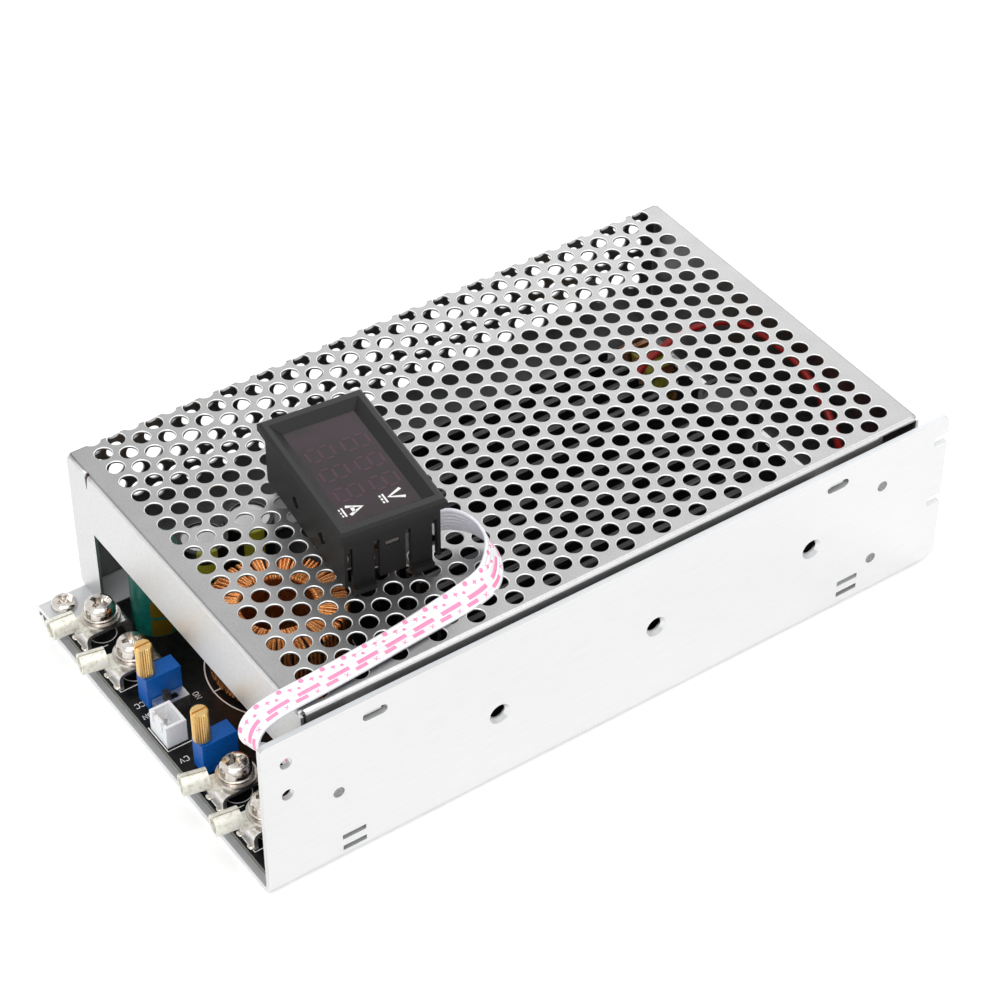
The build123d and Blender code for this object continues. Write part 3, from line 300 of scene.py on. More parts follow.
def ribbon_insulation():
    """White cable insulation with rows of pink factory marks, read from the strip's own coordinates."""
    paint = Paint("ribbon_insulation", (0.85, 0.83, 0.86), roughness=0.42, Subsurface_Weight=0.15)
    paint.shader.inputs["Subsurface Radius"].default_value = (0.002, 0.0015, 0.0015)
    strip = paint.parts(paint.node("ShaderNodeUVMap", uv_map="strip").outputs["UV"])
    along = strip["X"]
    across = strip["Y"]

    def apart(source, centre):
        return paint.math("ABSOLUTE", paint.math("SUBTRACT", source, centre))

    def place(period, shift, row):
        turns = paint.math("FRACT", paint.math("DIVIDE", paint.math("ADD", along, shift), period))
        return apart(paint.math("MULTIPLY", turns, period), period / 2), apart(across, row)

    def bar(period, shift, row, length, height):
        u, v = place(period, shift, row)
        within = paint.math("LESS_THAN", u, length / 2)
        return paint.math("MULTIPLY", within, paint.math("LESS_THAN", v, height / 2))

    def dot(period, shift, row, size):
        u, v = place(period, shift, row)
        reach = paint.math("ADD", paint.math("MULTIPLY", u, u), paint.math("MULTIPLY", v, v))
        return paint.math("LESS_THAN", reach, size * size)

    def cross(period, shift, row, size, width, slanted):
        u, v = place(period, shift, row)
        within = paint.math("LESS_THAN", paint.math("MAXIMUM", u, v), size)
        off = apart(u, v) if slanted else paint.math("MINIMUM", u, v)
        return paint.math("MULTIPLY", within, paint.math("LESS_THAN", off, width))

    marks = bar(BAR_PITCH, 0.0, 2.85, 5.8, 1.1)
    others = (
        bar(BAR_PITCH, 5.4, 1.35, 3.2, 1.0),
        cross(BAR_PITCH, 1.3, 1.2, 0.55, 0.17, True),
        dot(DOT_PITCH, 0.6, 6.1, 0.66),
        cross(DOT_PITCH, 2.9, 5.2, 0.6, 0.19, False),
        dot(DOT_PITCH, 4.9, 4.5, 0.44),
    )
    for other in others:
        marks = paint.math("MAXIMUM", marks, other)
    plain = paint.ramp(paint.noise(0.5, detail=3.0), (0.90, 0.885, 0.92), (0.95, 0.94, 0.96))
    fade = paint.math("GREATER_THAN", along, PRINT_START)
    paint.colour(paint.mix(paint.math("MULTIPLY", marks, fade), plain, (0.93, 0.30, 0.52)))
    return paint.material


def make_materials():
    """One material for each finish, by its name without a number."""
    made = (
        case_aluminium(),
        zinc_sheet(),
        circuit_board(),
        ribbon_insulation(),
        # A lighter copy of the zinc for the front apron with its leg, the near bend and the near flange:
        # painted light on the folds
        finish(
            "painted_light_zinc", grey(0.60), grey(0.69), 1.0, (0.32, 0.44), 2.2, 8.0, (0.01, 0.3),
            ends=(0.3, 0.7), stretch=(1, 0.4, 0.9),
        ),
        # Hole rims: near-white and partly diffuse so they look bright from every side, painted highlights
        # round the holes
        finish("painted_rim_highlight", grey(0.84), grey(0.97), 0.35, (0.24, 0.40), 1.2, 4.0),
        finish("tinned_metal", grey(0.62, 0.04), grey(0.80, 0.02), 1.0, (0.28, 0.46), 1.4, 6.0, (0.03, 0.4)),
        finish(
            "lug_tin", (0.62, 0.60, 0.50), (0.84, 0.83, 0.75), 0.55, (0.42, 0.62), 1.0, 8.0, (0.06, 0.6),
            ends=(0.3, 0.5),
        ),
        finish("nickel", grey(0.54, 0.09), grey(0.70, 0.05), 1.0, (0.10, 0.20), 0.8, 5.0, (0.02, 0.3)),
        finish("washer_steel", grey(0.50, 0.09), grey(0.68, 0.05), 1.0, (0.22, 0.40), 1.6, 5.0, (0.02, 0.4)),
        finish("screw_end", grey(0.16), grey(0.32), 1.0, (0.26, 0.44), 1.8, 4.0),
        finish("brass", (0.82, 0.53, 0.20), (0.90, 0.63, 0.28), 0.9, (0.26, 0.36), 1.6, 4.0, (0.01, 0.3)),
        finish(
            "black_anodised", (0.022, 0.022, 0.024), (0.085, 0.085, 0.088), 0.8, (0.28, 0.44), 2.5, 4.0,
            (0.02, 0.5), stretch=(0.05, 1, 1),
        ),
        finish(
            "tinted_window", (0.012, 0.006, 0.008), (0.026, 0.012, 0.019), 0.0, (0.12, 0.20), 0.1, 2.0,
            Specular_IOR_Level=0.14,
        ),
        enamelled("copper", (0.86, 0.32, 0.09), (0.97, 0.43, 0.15)),
        enamelled("dark_copper", (0.16, 0.06, 0.02), (0.30, 0.12, 0.04)),
        plastic("dark_core", grey(0.02), grey(0.045), 0.5, 0.08, 0.8),
        plastic("yellow_core", (0.26, 0.24, 0.02), (0.40, 0.36, 0.04), 0.5, 0.08, 0.8),
        plastic("film", (0.45, 0.45, 0.40), (0.55, 0.55, 0.50), 0.3, 0.01),
        plastic("blue", (0.002, 0.085, 0.36), (0.003, 0.12, 0.50), 0.42, 0.03, Specular_IOR_Level=0.3),
        plastic("nylon", (0.88, 0.88, 0.90), (0.94, 0.94, 0.95), 0.42, Subsurface_Weight=0.1),
        plastic("black", (0.012, 0.012, 0.013), (0.025, 0.025, 0.027)),
        plastic("meter", grey(0.005), grey(0.010), 0.46, 0.03, 3.0, Specular_IOR_Level=0.3),
        plastic("display", (0.010, 0.009, 0.011), (0.020, 0.018, 0.020), 0.5, 0.01),
        plastic("segment", (0.045, 0.018, 0.028), (0.052, 0.021, 0.033), 0.35, 0.005, Specular_IOR_Level=0.2),
        plastic("print", (0.72, 0.72, 0.70), (0.86, 0.86, 0.84), 0.5, 0.01, 3.0),
        plastic("device", grey(0.012), grey(0.03), 0.5),
        plastic("red", (0.38, 0.01, 0.008), (0.52, 0.02, 0.015), 0.35, 0.01),
        plastic("ribbon_back", (0.70, 0.69, 0.76), (0.80, 0.79, 0.85), 0.42, 0.01),
    )
    return {material.name.split(".")[0]: material for material in made}


# Mesh helpers
ALL_SMOOTH = 180


def new_object(name, data):
    made = bpy.data.objects.new(name, data)
    bpy.context.scene.collection.objects.link(made)
    return made


def mesh_piece(name, shapes, material, body="case", smooth=0):
    """A mesh object from shapes in millimetres; edges are smooth up to an angle in degrees."""
    vertices, faces = join_shapes(shapes)
    mesh = bpy.data.meshes.new(name)
    mesh.from_pydata([Vector(point) * MM for point in vertices], [], faces)
    mesh.update()
    if smooth:
        smooth_by_angle(mesh, smooth)
    piece = new_object(name, mesh)
    mesh.materials.append(material)
    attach(piece, body)
    return piece


def smooth_by_angle(mesh, limit):
    """Smooth shading but for edges sharper than a limit in degrees."""
    mesh.polygons.foreach_set("use_smooth", [True] * len(mesh.polygons))
    shape = bmesh.new()
    shape.from_mesh(mesh)
    for edge in shape.edges:
        edge.smooth = len(edge.link_faces) == 2 and edge.calc_face_angle() < math.radians(limit)
    shape.to_mesh(mesh)
    shape.free()


def join_shapes(shapes):
    """Put several (vertices, faces) shapes into one."""
    vertices = []
    faces = []
    for points, polygons in shapes:
        start = len(vertices)
        vertices.extend(points)
        faces.extend([tuple(index + start for index in polygon) for polygon in polygons])
    return vertices, faces


def loft(rings, closed_path=False, capped=True):
    """Quads between rings of equal length."""
    count = len(rings[0])
    vertices = [point for ring in rings for point in ring]
    faces = []
    spans = len(rings) if closed_path else len(rings) - 1
    for i in range(spans):
        j = (i + 1) % len(rings)
        for k in range(count):
            m = (k + 1) % count
            faces.append((i * count + k, i * count + m, j * count + m, j * count + k))
    if capped and not closed_path:
        faces.append(tuple(reversed(range(count))))
        faces.append(tuple((len(rings) - 1) * count + k for k in range(count)))
    return vertices, faces


def wire(points, radius, sides=8, closed=False):
    """A round wire along points."""
    rings = []
    count = len(points)
    side = None
    for i, point in enumerate(points):
        before = points[i - 1] if (i or closed) else point
        after = points[(i + 1) % count] if (i < count - 1 or closed) else point
        ahead = (after - before).normalized()
        if side is None:
            side = ahead.orthogonal().normalized()
        side = (side - ahead * side.dot(ahead)).normalized()
        other = ahead.cross(side)
        rings.append([point + side * x + other * y for x, y in circle((0, 0), radius, sides)])
    return loft(rings, closed)


# Ribbon cable: six cores side by side, printed on the outer face of its loop
RIBBON_WIDTH = 7.0
RIBBON_THICKNESS = 0.9
RIBBON_CORES = 6
LOBE_POINTS = 5
RIBBON_FLAT_FROM = 0.43
RIBBON_REST = 51.0
RIBBON_EXIT = METER_PLACE @ Vector((7.5, -15.0, 8.2))
RIBBON_ROUTE = [
    RIBBON_EXIT,
    METER_PLACE @ Vector((14.3, -15.0, 8.2)),
    (-27.4, -24.9, 57.2),
    (-24.0, -28.6, 55.6),
    (-23.2, -33.8, 53.9),
    (-25.8, -38.6, 52.6),
    (-30.0, -42.0, 51.4),
    (-40.0, -43.4, RIBBON_REST),
    (-60.0, -45.6, RIBBON_REST),
    (-80.0, -47.1, RIBBON_REST),
    (-90.0, -47.3, 50.8),
    (-96.6, -47.8, 49.6),
    (-98.8, -48.4, 45.2),
    (-96.6, -48.8, 41.2),
    (-91.6, -48.8, 39.2),
    (-89.2, -48.2, 33.4),
    (-87.0, -46.8, 27.4),
    (-80.4, -43.4, 25.4),
    (-76.0, -42.0, 22.6),
    (-76.0, -42.0, 16.6),
]


def spline_points(name, route, steps=10):
    """Points of the smooth line with the route as its control points."""
    curve = bpy.data.curves.new(name, "CURVE")
    curve.dimensions = "3D"
    curve.resolution_u = steps
    spline = curve.splines.new("NURBS")
    spline.points.add(len(route) - 1)
    for point, place in zip(spline.points, route):
        point.co = (*(Vector(place) * MM), 1.0)
    spline.order_u = 3
    spline.use_endpoint_u = True
    line = bpy.data.objects.new(name, curve)
    mesh = bpy.data.meshes.new_from_object(line)
    points = [vertex.co / MM for vertex in mesh.vertices]
    bpy.data.meshes.remove(mesh)
    bpy.data.objects.remove(line)
    return points


def ribbon_frames(points):
    """Width and face directions along the cable: on edge where it leaves the meter, then flat."""
    lengths = [0.0]
    for first, second in zip(points, points[1:]):
        lengths.append(lengths[-1] + (second - first).length)
    frames = []
    face = None
    for i, point in enumerate(points):
        ahead = (points[min(i + 1, len(points) - 1)] - points[max(i - 1, 0)]).normalized()
        part = lengths[i] / lengths[-1]
        if part < RIBBON_FLAT_FROM:
            level = Vector((0, 0, 1)).cross(ahead).normalized()
            upright = ahead.cross(level)
            blend = part / RIBBON_FLAT_FROM
            tip = math.radians(88) * (1 - blend * blend * (3 - 2 * blend))
            face = upright * math.cos(tip) + level * math.sin(tip)
        face = (face - ahead * face.dot(ahead)).normalized()
        frames.append((ahead.cross(face), face))
    return lengths, frames


def ribbon_cable(materials):
    """The flat cable's own mesh, with length and width in millimetres as its coordinates."""
    points = spline_points("ribbon_line", RIBBON_ROUTE)
    lengths, frames = ribbon_frames(points)
    core = RIBBON_WIDTH / RIBBON_CORES
    outline = []
    for lobe in range(RIBBON_CORES):
        for step in range(LOBE_POINTS):
            share = step / LOBE_POINTS
            across = -RIBBON_WIDTH / 2 + (lobe + share) * core
            outline.append((across, RIBBON_THICKNESS / 2 * (0.62 + 0.38 * math.sin(math.pi * share))))
    outline.append((RIBBON_WIDTH / 2, RIBBON_THICKNESS * 0.25))
    ring_shape = outline + [(across, -height) for across, height in reversed(outline)]
    rings = [
        [point + width * across + face * height for across, height in ring_shape]
        for point, (width, face) in zip(points, frames)
    ]
    piece = mesh_piece("ribbon_strip", [loft(rings)], materials["ribbon_insulation"], smooth=ALL_SMOOTH)
    mesh = piece.data
    mesh.materials.append(materials["ribbon_back"])
    layer = mesh.uv_layers.new(name="strip")
    count = len(ring_shape)
    top = len(outline)
    for polygon in mesh.polygons:
        shape_indices = [mesh.loops[loop].vertex_index % count for loop in polygon.loop_indices]
        if any(index >= top for index in shape_indices) or len(shape_indices) > 4:
            polygon.material_index = 1
        for loop, index in zip(polygon.loop_indices, shape_indices):
            ring = mesh.loops[loop].vertex_index // count
            layer.data[loop].uv = (lengths[ring], ring_shape[index][0] + RIBBON_WIDTH / 2)
    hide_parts("ribbon_cable")


# Distances in millimetres below which points count as one, and a point as not yet in a bend
NEAR = 1e-5
FIT = 1e-6

# Perforated cover: a flat blank with every hole, folded along its four bends
SHEET = 0.8
BEND = 1.0
COVER_FRONT = -87.2
COVER_REAR = 91.5
COVER_NEAR = -52.3
COVER_FAR = HALF_WIDTH
WALL_FOOT = 6.2
FLANGE_DEPTH = 9.0
FLANGE_FRONT = -85.7
FLANGE_REAR = 80.0
APRON_DEPTH = 19.0
LEG_START = 44.3
LEG_CHAMFER = 2.2
RELIEF_WIDTH = 1.5
RELIEF_DEPTH = 5.2
HOLE_RADIUS = 2.2
HOLE_RIM = 0.2
HOLE_SIDES = 24
HOLE_PITCH = 6.114
HOLE_COLUMNS = 32
FIRST_COLUMN = -79.8
FIRST_ROW = -48.3
LAST_HOLE_Z = 26.0
BEND_STEPS = 3
TAB_X = (-69.5, 64.3)
TAB_Z = 42.7
TAB_WIDTH = 4.4
TAB_REACH = 2.2
TAB_WINDOW = 2.6

MID_BEND = BEND - SHEET / 2
BEND_LENGTH = MID_BEND * math.pi / 2

# Limits of the level top, then where each bend starts, its way and its axis; of two, the later one counts
FLAT_X = (COVER_FRONT + BEND, COVER_REAR - BEND)
FLAT_Y = (COVER_NEAR + BEND, COVER_FAR - BEND)
BENDS = ((FLAT_Y[1], 1, 1), (FLAT_Y[0], -1, 1), (FLAT_X[1], 1, 0), (FLAT_X[0], -1, 0))


def blank_outline():
    """Outline of the flat blank, counterclockwise from the near flange's front end."""
    front, rear = FLAT_X
    near, far = FLAT_Y
    height = CASE_TOP - WALL_FOOT
    drop = BEND_LENGTH - BEND
    flange_end = near - drop - FLANGE_DEPTH
    apron_end = front - drop - APRON_DEPTH
    leg_end = front - drop - height
    rear_end = rear + drop + height
    wall_end = far + drop + height
    apron_start = front - BEND_LENGTH
    rear_start = rear + BEND_LENGTH
    return [
        (FLANGE_FRONT, near),
        (FLANGE_FRONT, flange_end),
        (FLANGE_REAR, flange_end),
        (FLANGE_REAR, near - BEND_LENGTH),
        (rear, near - BEND_LENGTH),
        (rear, near),
        (rear_start, near),
        (rear_start, COVER_NEAR),
        (rear_end, COVER_NEAR),
        (rear_end, COVER_FAR),
        (rear_start, COVER_FAR),
        (rear_start, far),
        (rear, far),
        (rear, wall_end),
        (front, wall_end),
        (front, far),
        (apron_start, far),
        (apron_start, COVER_FAR),
        (leg_end + LEG_CHAMFER, COVER_FAR),
        (leg_end, COVER_FAR - LEG_CHAMFER),
        (leg_end, LEG_START),
        (apron_end, LEG_START),
        (apron_end, COVER_NEAR),
        (apron_start, COVER_NEAR),
        (apron_start, near),
    ]


def hole_centres():
    """Centres of the round holes on the blank: an even triangular lattice over the top and the far wall."""
    step = HOLE_PITCH * math.sqrt(3) / 2
    last = FLAT_Y[1] + BEND_LENGTH + (CASE_TOP - BEND) - LAST_HOLE_Z
    centres = []
    for column in range(HOLE_COLUMNS):
        row = FIRST_ROW + (HOLE_PITCH / 2 if column % 2 else 0.0)
        while row <= last:
            centres.append((FIRST_COLUMN + column * step, row))
            row += HOLE_PITCH
    return centres


def inside(point, outline):
    """True if a point is inside a closed outline."""
    x, y = point
    found = False
    for (x1, y1), (x2, y2) in zip(outline, outline[1:] + outline[:1]):
        if (y1 > y) != (y2 > y) and x < (x2 - x1) * (y - y1) / (y2 - y1) + x1:
            found = not found
    return found


def fold(point):
    """Fold a point of the thick blank into its place on the cover."""
    u, v, w = point
    place = Vector((u, v, CASE_TOP - SHEET / 2 + w))
    reach = MID_BEND + w
    for start, sign, axis in BENDS:
        beyond = sign * (point[axis] - start)
        if beyond > FIT:
            angle = min(beyond / MID_BEND, math.pi / 2)
            drop = reach * math.cos(angle) - max(0.0, beyond - BEND_LENGTH)
            place = Vector((u, v, CASE_TOP - BEND + drop))
            place[axis] = start + sign * reach * math.sin(angle)
    return place


def in_bend(value, low, high):
    """True if a place on the blank lies in the bend beyond either end of a range."""
    return low - BEND_LENGTH < value < low or high < value < high + BEND_LENGTH


def rectangle(low, high):
    """Corners of a level rectangle, counterclockwise."""
    return [low, (high[0], low[1]), high, (low[0], high[1])]


def circle(centre, radius, sides):
    turns = [math.tau * k / sides for k in range(sides)]
    return [(centre[0] + radius * math.cos(turn), centre[1] + radius * math.sin(turn)) for turn in turns]


def perforated_cover(materials):
    """The cover as one folded sheet with all its round holes."""
    outline = blank_outline()
    front = FLAT_X[0]
    relief = [
        (front, LEG_START),
        (front, LEG_START + RELIEF_WIDTH),
        (front - BEND_LENGTH - RELIEF_DEPTH + BEND, LEG_START + RELIEF_WIDTH * 0.8),
    ]
    level = FLAT_Y[0] - BEND_LENGTH - (CASE_TOP - BEND - TAB_Z)
    half_tab = TAB_WIDTH / 2
    windows = [rectangle((x - half_tab, level), (x + half_tab, level + TAB_WINDOW)) for x in TAB_X]
    loops = [outline, relief] + windows
    plain_loops = len(loops)
    centres = hole_centres()
    loops += [circle(centre, HOLE_RADIUS + HOLE_RIM, HOLE_SIDES) for centre in centres]
    points = [Vector(point) for loop in loops for point in loop]
    edges = []
    owner = []
    for number, loop in enumerate(loops):
        start = len(owner)
        owner += [number] * len(loop)
        edges += [(start + k, start + (k + 1) % len(loop)) for k in range(len(loop))]
    flat, _, triangles, origin, _, _ = delaunay_2d_cdt(points, edges, [], 1, NEAR)
    loop_of = [owner[source[0]] if source else 0 for source in origin]
    kept = []
    for triangle in triangles:
        rings = {loop_of[index] for index in triangle}
        if len(rings) == 1 and 0 not in rings:
            continue
        centre = sum((flat[index] for index in triangle), Vector((0, 0))) / 3
        if inside(centre, outline):
            kept.append(triangle)
    half = SHEET / 2
    mesh = bmesh.new()
    upper = [mesh.verts.new((p.x, p.y, half)) for p in flat]
    lower = [mesh.verts.new((p.x, p.y, -half)) for p in flat]
    for a, b, c in kept:
        mesh.faces.new((upper[a], upper[b], upper[c]))
        mesh.faces.new((lower[c], lower[b], lower[a]))
    place = {}
    for index, source in enumerate(origin):
        for number in source:
            place[number] = index
    start = 0
    for number, loop in enumerate(loops):
        ring = [place[start + k] for k in range(len(loop))]
        start += len(loop)
        turn = 1 if number == 0 else -1
        chains = [[side[i] for i in ring] for side in (upper, lower)]
        if number >= plain_loops:
            shoulder = circle(centres[number - plain_loops], HOLE_RADIUS, len(loop))
            chains[1:1] = [
                [mesh.verts.new((x, y, level)) for x, y in shoulder]
                for level in (half - HOLE_RIM, HOLE_RIM - half)
            ]
        for above, below in zip(chains, chains[1:]):
            for k in range(len(loop)):
                m = (k + turn) % len(loop)
                face = mesh.faces.new((above[k], below[k], below[m], above[m]))
                face.smooth = number >= plain_loops
                # The upper chamfer round each hole takes the near-white rim finish: painted highlights
                face.material_index = 1 if number >= plain_loops and above is chains[0] else 0
    for start, sign, axis in BENDS:
        for step in range(BEND_STEPS + 1):
            normal = Vector((1 - axis, axis, 0))
            spot = normal * (start + sign * BEND_LENGTH * step / BEND_STEPS)
            everything = mesh.verts[:] + mesh.edges[:] + mesh.faces[:]
            bmesh.ops.bisect_plane(mesh, geom=everything, plane_co=spot, plane_no=normal, dist=NEAR)
    for face in mesh.faces:
        centre = face.calc_center_median()
        if in_bend(centre.x, *FLAT_X):
            face.smooth = face.smooth or FLAT_Y[0] < centre.y < FLAT_Y[1]
        elif in_bend(centre.y, *FLAT_Y):
            face.smooth = face.smooth or FLAT_X[0] < centre.x < FLAT_X[1]
    for vertex in mesh.verts:
        vertex.co = fold(vertex.co)
    for x in TAB_X:
        box = bmesh.ops.create_cube(mesh, size=1.0)["verts"]
        for vertex in box:
            vertex.co.x = x + vertex.co.x * TAB_WIDTH
            vertex.co.y = COVER_NEAR + SHEET / 2 - TAB_REACH / 2 + vertex.co.y * TAB_REACH
            vertex.co.z = TAB_Z + vertex.co.z * SHEET
    data = bpy.data.meshes.new("perforated_cover")
    mesh.to_mesh(data)
    mesh.free()
    data.transform(Matrix.Scale(MM, 4))
    for name in ("zinc_sheet", "painted_rim_highlight", "painted_light_zinc"):
        data.materials.append(materials[name])
    # Faces of the front apron, the near bend and the near flange take the lighter copy of the zinc: painted
    # light on the folds
    for polygon in data.polygons:
        painted_light_face = polygon.center.x < (COVER_FRONT + BEND / 2) * MM or polygon.center.y < (COVER_NEAR + BEND) * MM
        if painted_light_face and polygon.material_index == 0:
            polygon.material_index = 2
    piece = new_object("perforated_cover", data)
    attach(piece, "case")
    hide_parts("cover")


# Main choke's winding: three strands side by side in each turn
CHOKE_TURNS = 28
CHOKE_STRANDS = 3
STRAND_RADIUS = 0.52
CORE_INNER = 10.0
CORE_OUTER = 16.4
CORE_HALF_HEIGHT = 8.8
CORNER_STEPS = 6


def turn_path(angle, centre, inner, outer, half_height, gap):
    """One closed turn round a ring core standing about Z, with round corners."""
    corners = (
        (outer, half_height, 0.0),
        (inner, half_height, 90.0),
        (inner, -half_height, 180.0),
        (outer, -half_height, 270.0),
    )
    points = []
    for radius, height, start in corners:
        for step in range(CORNER_STEPS + 1):
            turn = math.radians(start + 90.0 * step / CORNER_STEPS)
            r = radius + gap * math.cos(turn)
            z = height + gap * math.sin(turn)
            points.append(centre + Vector((r * math.cos(angle), r * math.sin(angle), z)))
    return points


def choke_winding(materials):
    shapes = []
    for turn in range(CHOKE_TURNS):
        for strand in range(CHOKE_STRANDS):
            spread = (strand - (CHOKE_STRANDS - 1) / 2) * 2 * STRAND_RADIUS / CORE_OUTER
            wobble = random.uniform(-0.006, 0.006)
            angle = math.tau * turn / CHOKE_TURNS + spread + wobble
            lift = 0.62 + random.uniform(0.0, 0.12)
            path = turn_path(angle, CHOKE_CENTRE, CORE_INNER, CORE_OUTER, CORE_HALF_HEIGHT, lift)
            shapes.append(wire(path, STRAND_RADIUS, 10, closed=True))
    piece = mesh_piece("choke_strands", shapes, materials["copper"], smooth=ALL_SMOOTH)
    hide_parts("choke_winding")


# Pan head screws with tapered cross recesses, as (x, y, underside of the head, turn)
HEAD_SIDES = 40
HEAD_PROFILE = ((1.0, 0.0), (1.0, 0.30), (0.975, 0.52), (0.91, 0.72), (0.80, 0.86), (0.68, 0.93))
DOME = 0.15
CROSS_CORNERS = 12
CROSS_ARM = 0.60
CROSS_HALF = 0.20
CROSS_STEPS = ((0.72, 0.84, 0.42), (0.30, 0.42, 0.66))
TERMINAL_Y = (36.8, 20.7, -27.9, -41.8)
TERMINAL_TURNS = (28.0, 77.0, 91.0, 56.0)
TERMINAL_X = -91.5
TERMINAL_HEAD_BASE = 13.7
TERMINAL_HEAD = 4.0
FLANGE_HEAD = 3.3
HEAD_SMOOTH = 35
FLANGE_SCREW = (-95.0, 49.9, 7.0)
WASHER_BASE = 12.7
WASHER_PROFILE = (
    (4.15, 0.0), (4.35, 0.08), (4.35, 0.36), (3.8, 0.44), (3.8, 0.56), (4.35, 0.64), (4.35, 0.92), (4.15, 1.0)
)


def cross_outline(arm, half_width, turn):
    """Twelve corners of a cross, its arms a little narrower at their ends."""
    corners = []
    for quarter in range(4):
        angle = math.radians(turn + 90 * quarter)
        for u, v in ((arm, -0.7 * half_width), (arm, 0.7 * half_width), (half_width, half_width)):
            corners.append((
                u * math.cos(angle) - v * math.sin(angle),
                u * math.sin(angle) + v * math.cos(angle),
            ))
    return corners


def pan_head(centre, radius, height, turn):
    """A domed screw head with a cross recess, its underside at the centre given."""
    inner = circle((0, 0), HEAD_PROFILE[-1][0] * radius, HEAD_SIDES)
    arm = CROSS_ARM * radius
    points = [Vector(point) for point in inner + cross_outline(arm, CROSS_HALF * radius, turn)]
    edges = [(k, (k + 1) % HEAD_SIDES) for k in range(HEAD_SIDES)]
    edges += [(HEAD_SIDES + k, HEAD_SIDES + (k + 1) % CROSS_CORNERS) for k in range(CROSS_CORNERS)]
    flat, _, triangles, origin, _, _ = delaunay_2d_cdt(points, edges, [], 1, NEAR)
    number = {index: source[0] for index, source in enumerate(origin)}

    def crown(x, y):
        share = math.hypot(x, y) / radius
        return height * (1.0 - DOME * share * share)

    vertices = [(p.x, p.y, crown(p.x, p.y)) for p in flat]
    faces = [t for t in triangles if not all(number[index] >= HEAD_SIDES for index in t)]
    where = {source: index for index, source in number.items()}
    rim = [where[k] for k in range(HEAD_SIDES)]
    edge = [where[HEAD_SIDES + k] for k in range(CROSS_CORNERS)]
    for share, rise in reversed(HEAD_PROFILE[:-1]):
        ring = []
        for x, y in circle((0, 0), share * radius, HEAD_SIDES):
            ring.append(len(vertices))
            vertices.append((x, y, rise * height))
        for k in range(HEAD_SIDES):
            m = (k + 1) % HEAD_SIDES
            faces.append((rim[k], ring[k], ring[m], rim[m]))
        rim = ring
    faces.append(tuple(reversed(rim)))
    for size, breadth, depth in CROSS_STEPS:
        ring = []
        for x, y in cross_outline(arm * size, CROSS_HALF * radius * breadth, turn):
            ring.append(len(vertices))
            vertices.append((x, y, height * (1 - depth)))
        for k in range(CROSS_CORNERS):
            m = (k + 1) % CROSS_CORNERS
            faces.append((edge[k], edge[m], ring[m], ring[k]))
        edge = ring
    faces.append(tuple(edge))
    return [Vector(centre) + Vector(vertex) for vertex in vertices], faces


def pin(centre, radius, bottom, top):
    """A plain threadless stem between two levels."""
    rings = [[Vector((x, y, z)) for x, y in circle(centre, radius, 16)] for z in (bottom, top)]
    return loft(rings)


def screws(materials):
    """The terminal screws and the flange screw with their real heads."""
    shapes = []
    for y, turn in zip(TERMINAL_Y, TERMINAL_TURNS):
        shapes.append(pan_head((TERMINAL_X, y, TERMINAL_HEAD_BASE), TERMINAL_HEAD, 3.3, turn))
        shapes.append(pin((TERMINAL_X, y), 2.0, TERMINAL_HEAD_BASE - 6.0, TERMINAL_HEAD_BASE))
    piece = mesh_piece("terminal_heads", shapes, materials["nickel"], smooth=HEAD_SMOOTH)
    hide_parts("terminal_screws")
    shapes = []
    for y in TERMINAL_Y:
        rings = [
            [Vector((px, py, WASHER_BASE + rise)) for px, py in circle((TERMINAL_X, y), reach, HEAD_SIDES)]
            for reach, rise in WASHER_PROFILE
        ]
        shapes.append(loft(rings))
    piece = mesh_piece("spring_rings", shapes, materials["nickel"], smooth=HEAD_SMOOTH)
    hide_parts("spring_washers")
    base = FLANGE_SCREW[2]
    shapes = [pan_head(FLANGE_SCREW, FLANGE_HEAD, 2.2, 20.0), pin(FLANGE_SCREW[:2], 1.7, base - 2.7, base)]
    piece = mesh_piece("flange_head", shapes, materials["nickel"], smooth=HEAD_SMOOTH)
    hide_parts("flange_screw")


# Trimmer knobs: where they stand, their flutes and their slot
KNOB_PLACES = (("voltage", -17.0), ("current", 9.3))
KNOB_FLUTES = 24
KNOB_RADIUS = 2.2
FLUTE_DEPTH = 0.11
KNOB_X = -94.0
KNOB_BOTTOM = 16.3
KNOB_TOP = 25.7
KNOB_SLOT = 0.28
KNOB_SLOT_DEPTH = 0.7
KNOB_SMOOTH = 30


def knob_shape(y):
    """Fluted body of a knob, then its top in two halves beside the screwdriver slot."""
    count = 4 * KNOB_FLUTES
    turns = [math.tau * k / count for k in range(count)]
    reach = [KNOB_RADIUS - FLUTE_DEPTH * (1 + math.cos(KNOB_FLUTES * angle)) for angle in turns]

    def ring(shrink, level):
        return [
            Vector((KNOB_X + (r - shrink) * math.cos(a), y + (r - shrink) * math.sin(a), level))
            for r, a in zip(reach, turns)
        ]

    rings = [ring(0.12, KNOB_BOTTOM), ring(0.0, KNOB_BOTTOM + 0.2), ring(0.0, KNOB_TOP - KNOB_SLOT_DEPTH)]
    shapes = [loft(rings)]
    for side in (-1, 1):
        levels = (ring(0.0, KNOB_TOP - KNOB_SLOT_DEPTH), ring(0.0, KNOB_TOP - 0.22), ring(0.22, KNOB_TOP))
        kept = [k for k in range(count) if side * (levels[0][k].y - y) > KNOB_SLOT + 0.1]
        halves = []
        for level in levels:
            half = [level[k] for k in kept]
            first, last = half[0].copy(), half[-1].copy()
            first.y = last.y = y + side * KNOB_SLOT
            halves.append([first, *half, last])
        shapes.append(loft(halves))
    return shapes


def knobs(materials):
    """Fluted brass knobs of the two trimmers."""
    for name, y in KNOB_PLACES:
        piece = mesh_piece(f"{name}_flutes", knob_shape(y), materials["brass"], f"{name}_knob", KNOB_SMOOTH)
        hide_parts(f"{name}_trimmer_knob")


BEAD_X = -98.0
BEAD_ASIDE = 2.4
BEAD_SIZE = (0.62, 1.15, 0.6)
BEAD_SIDES = 20


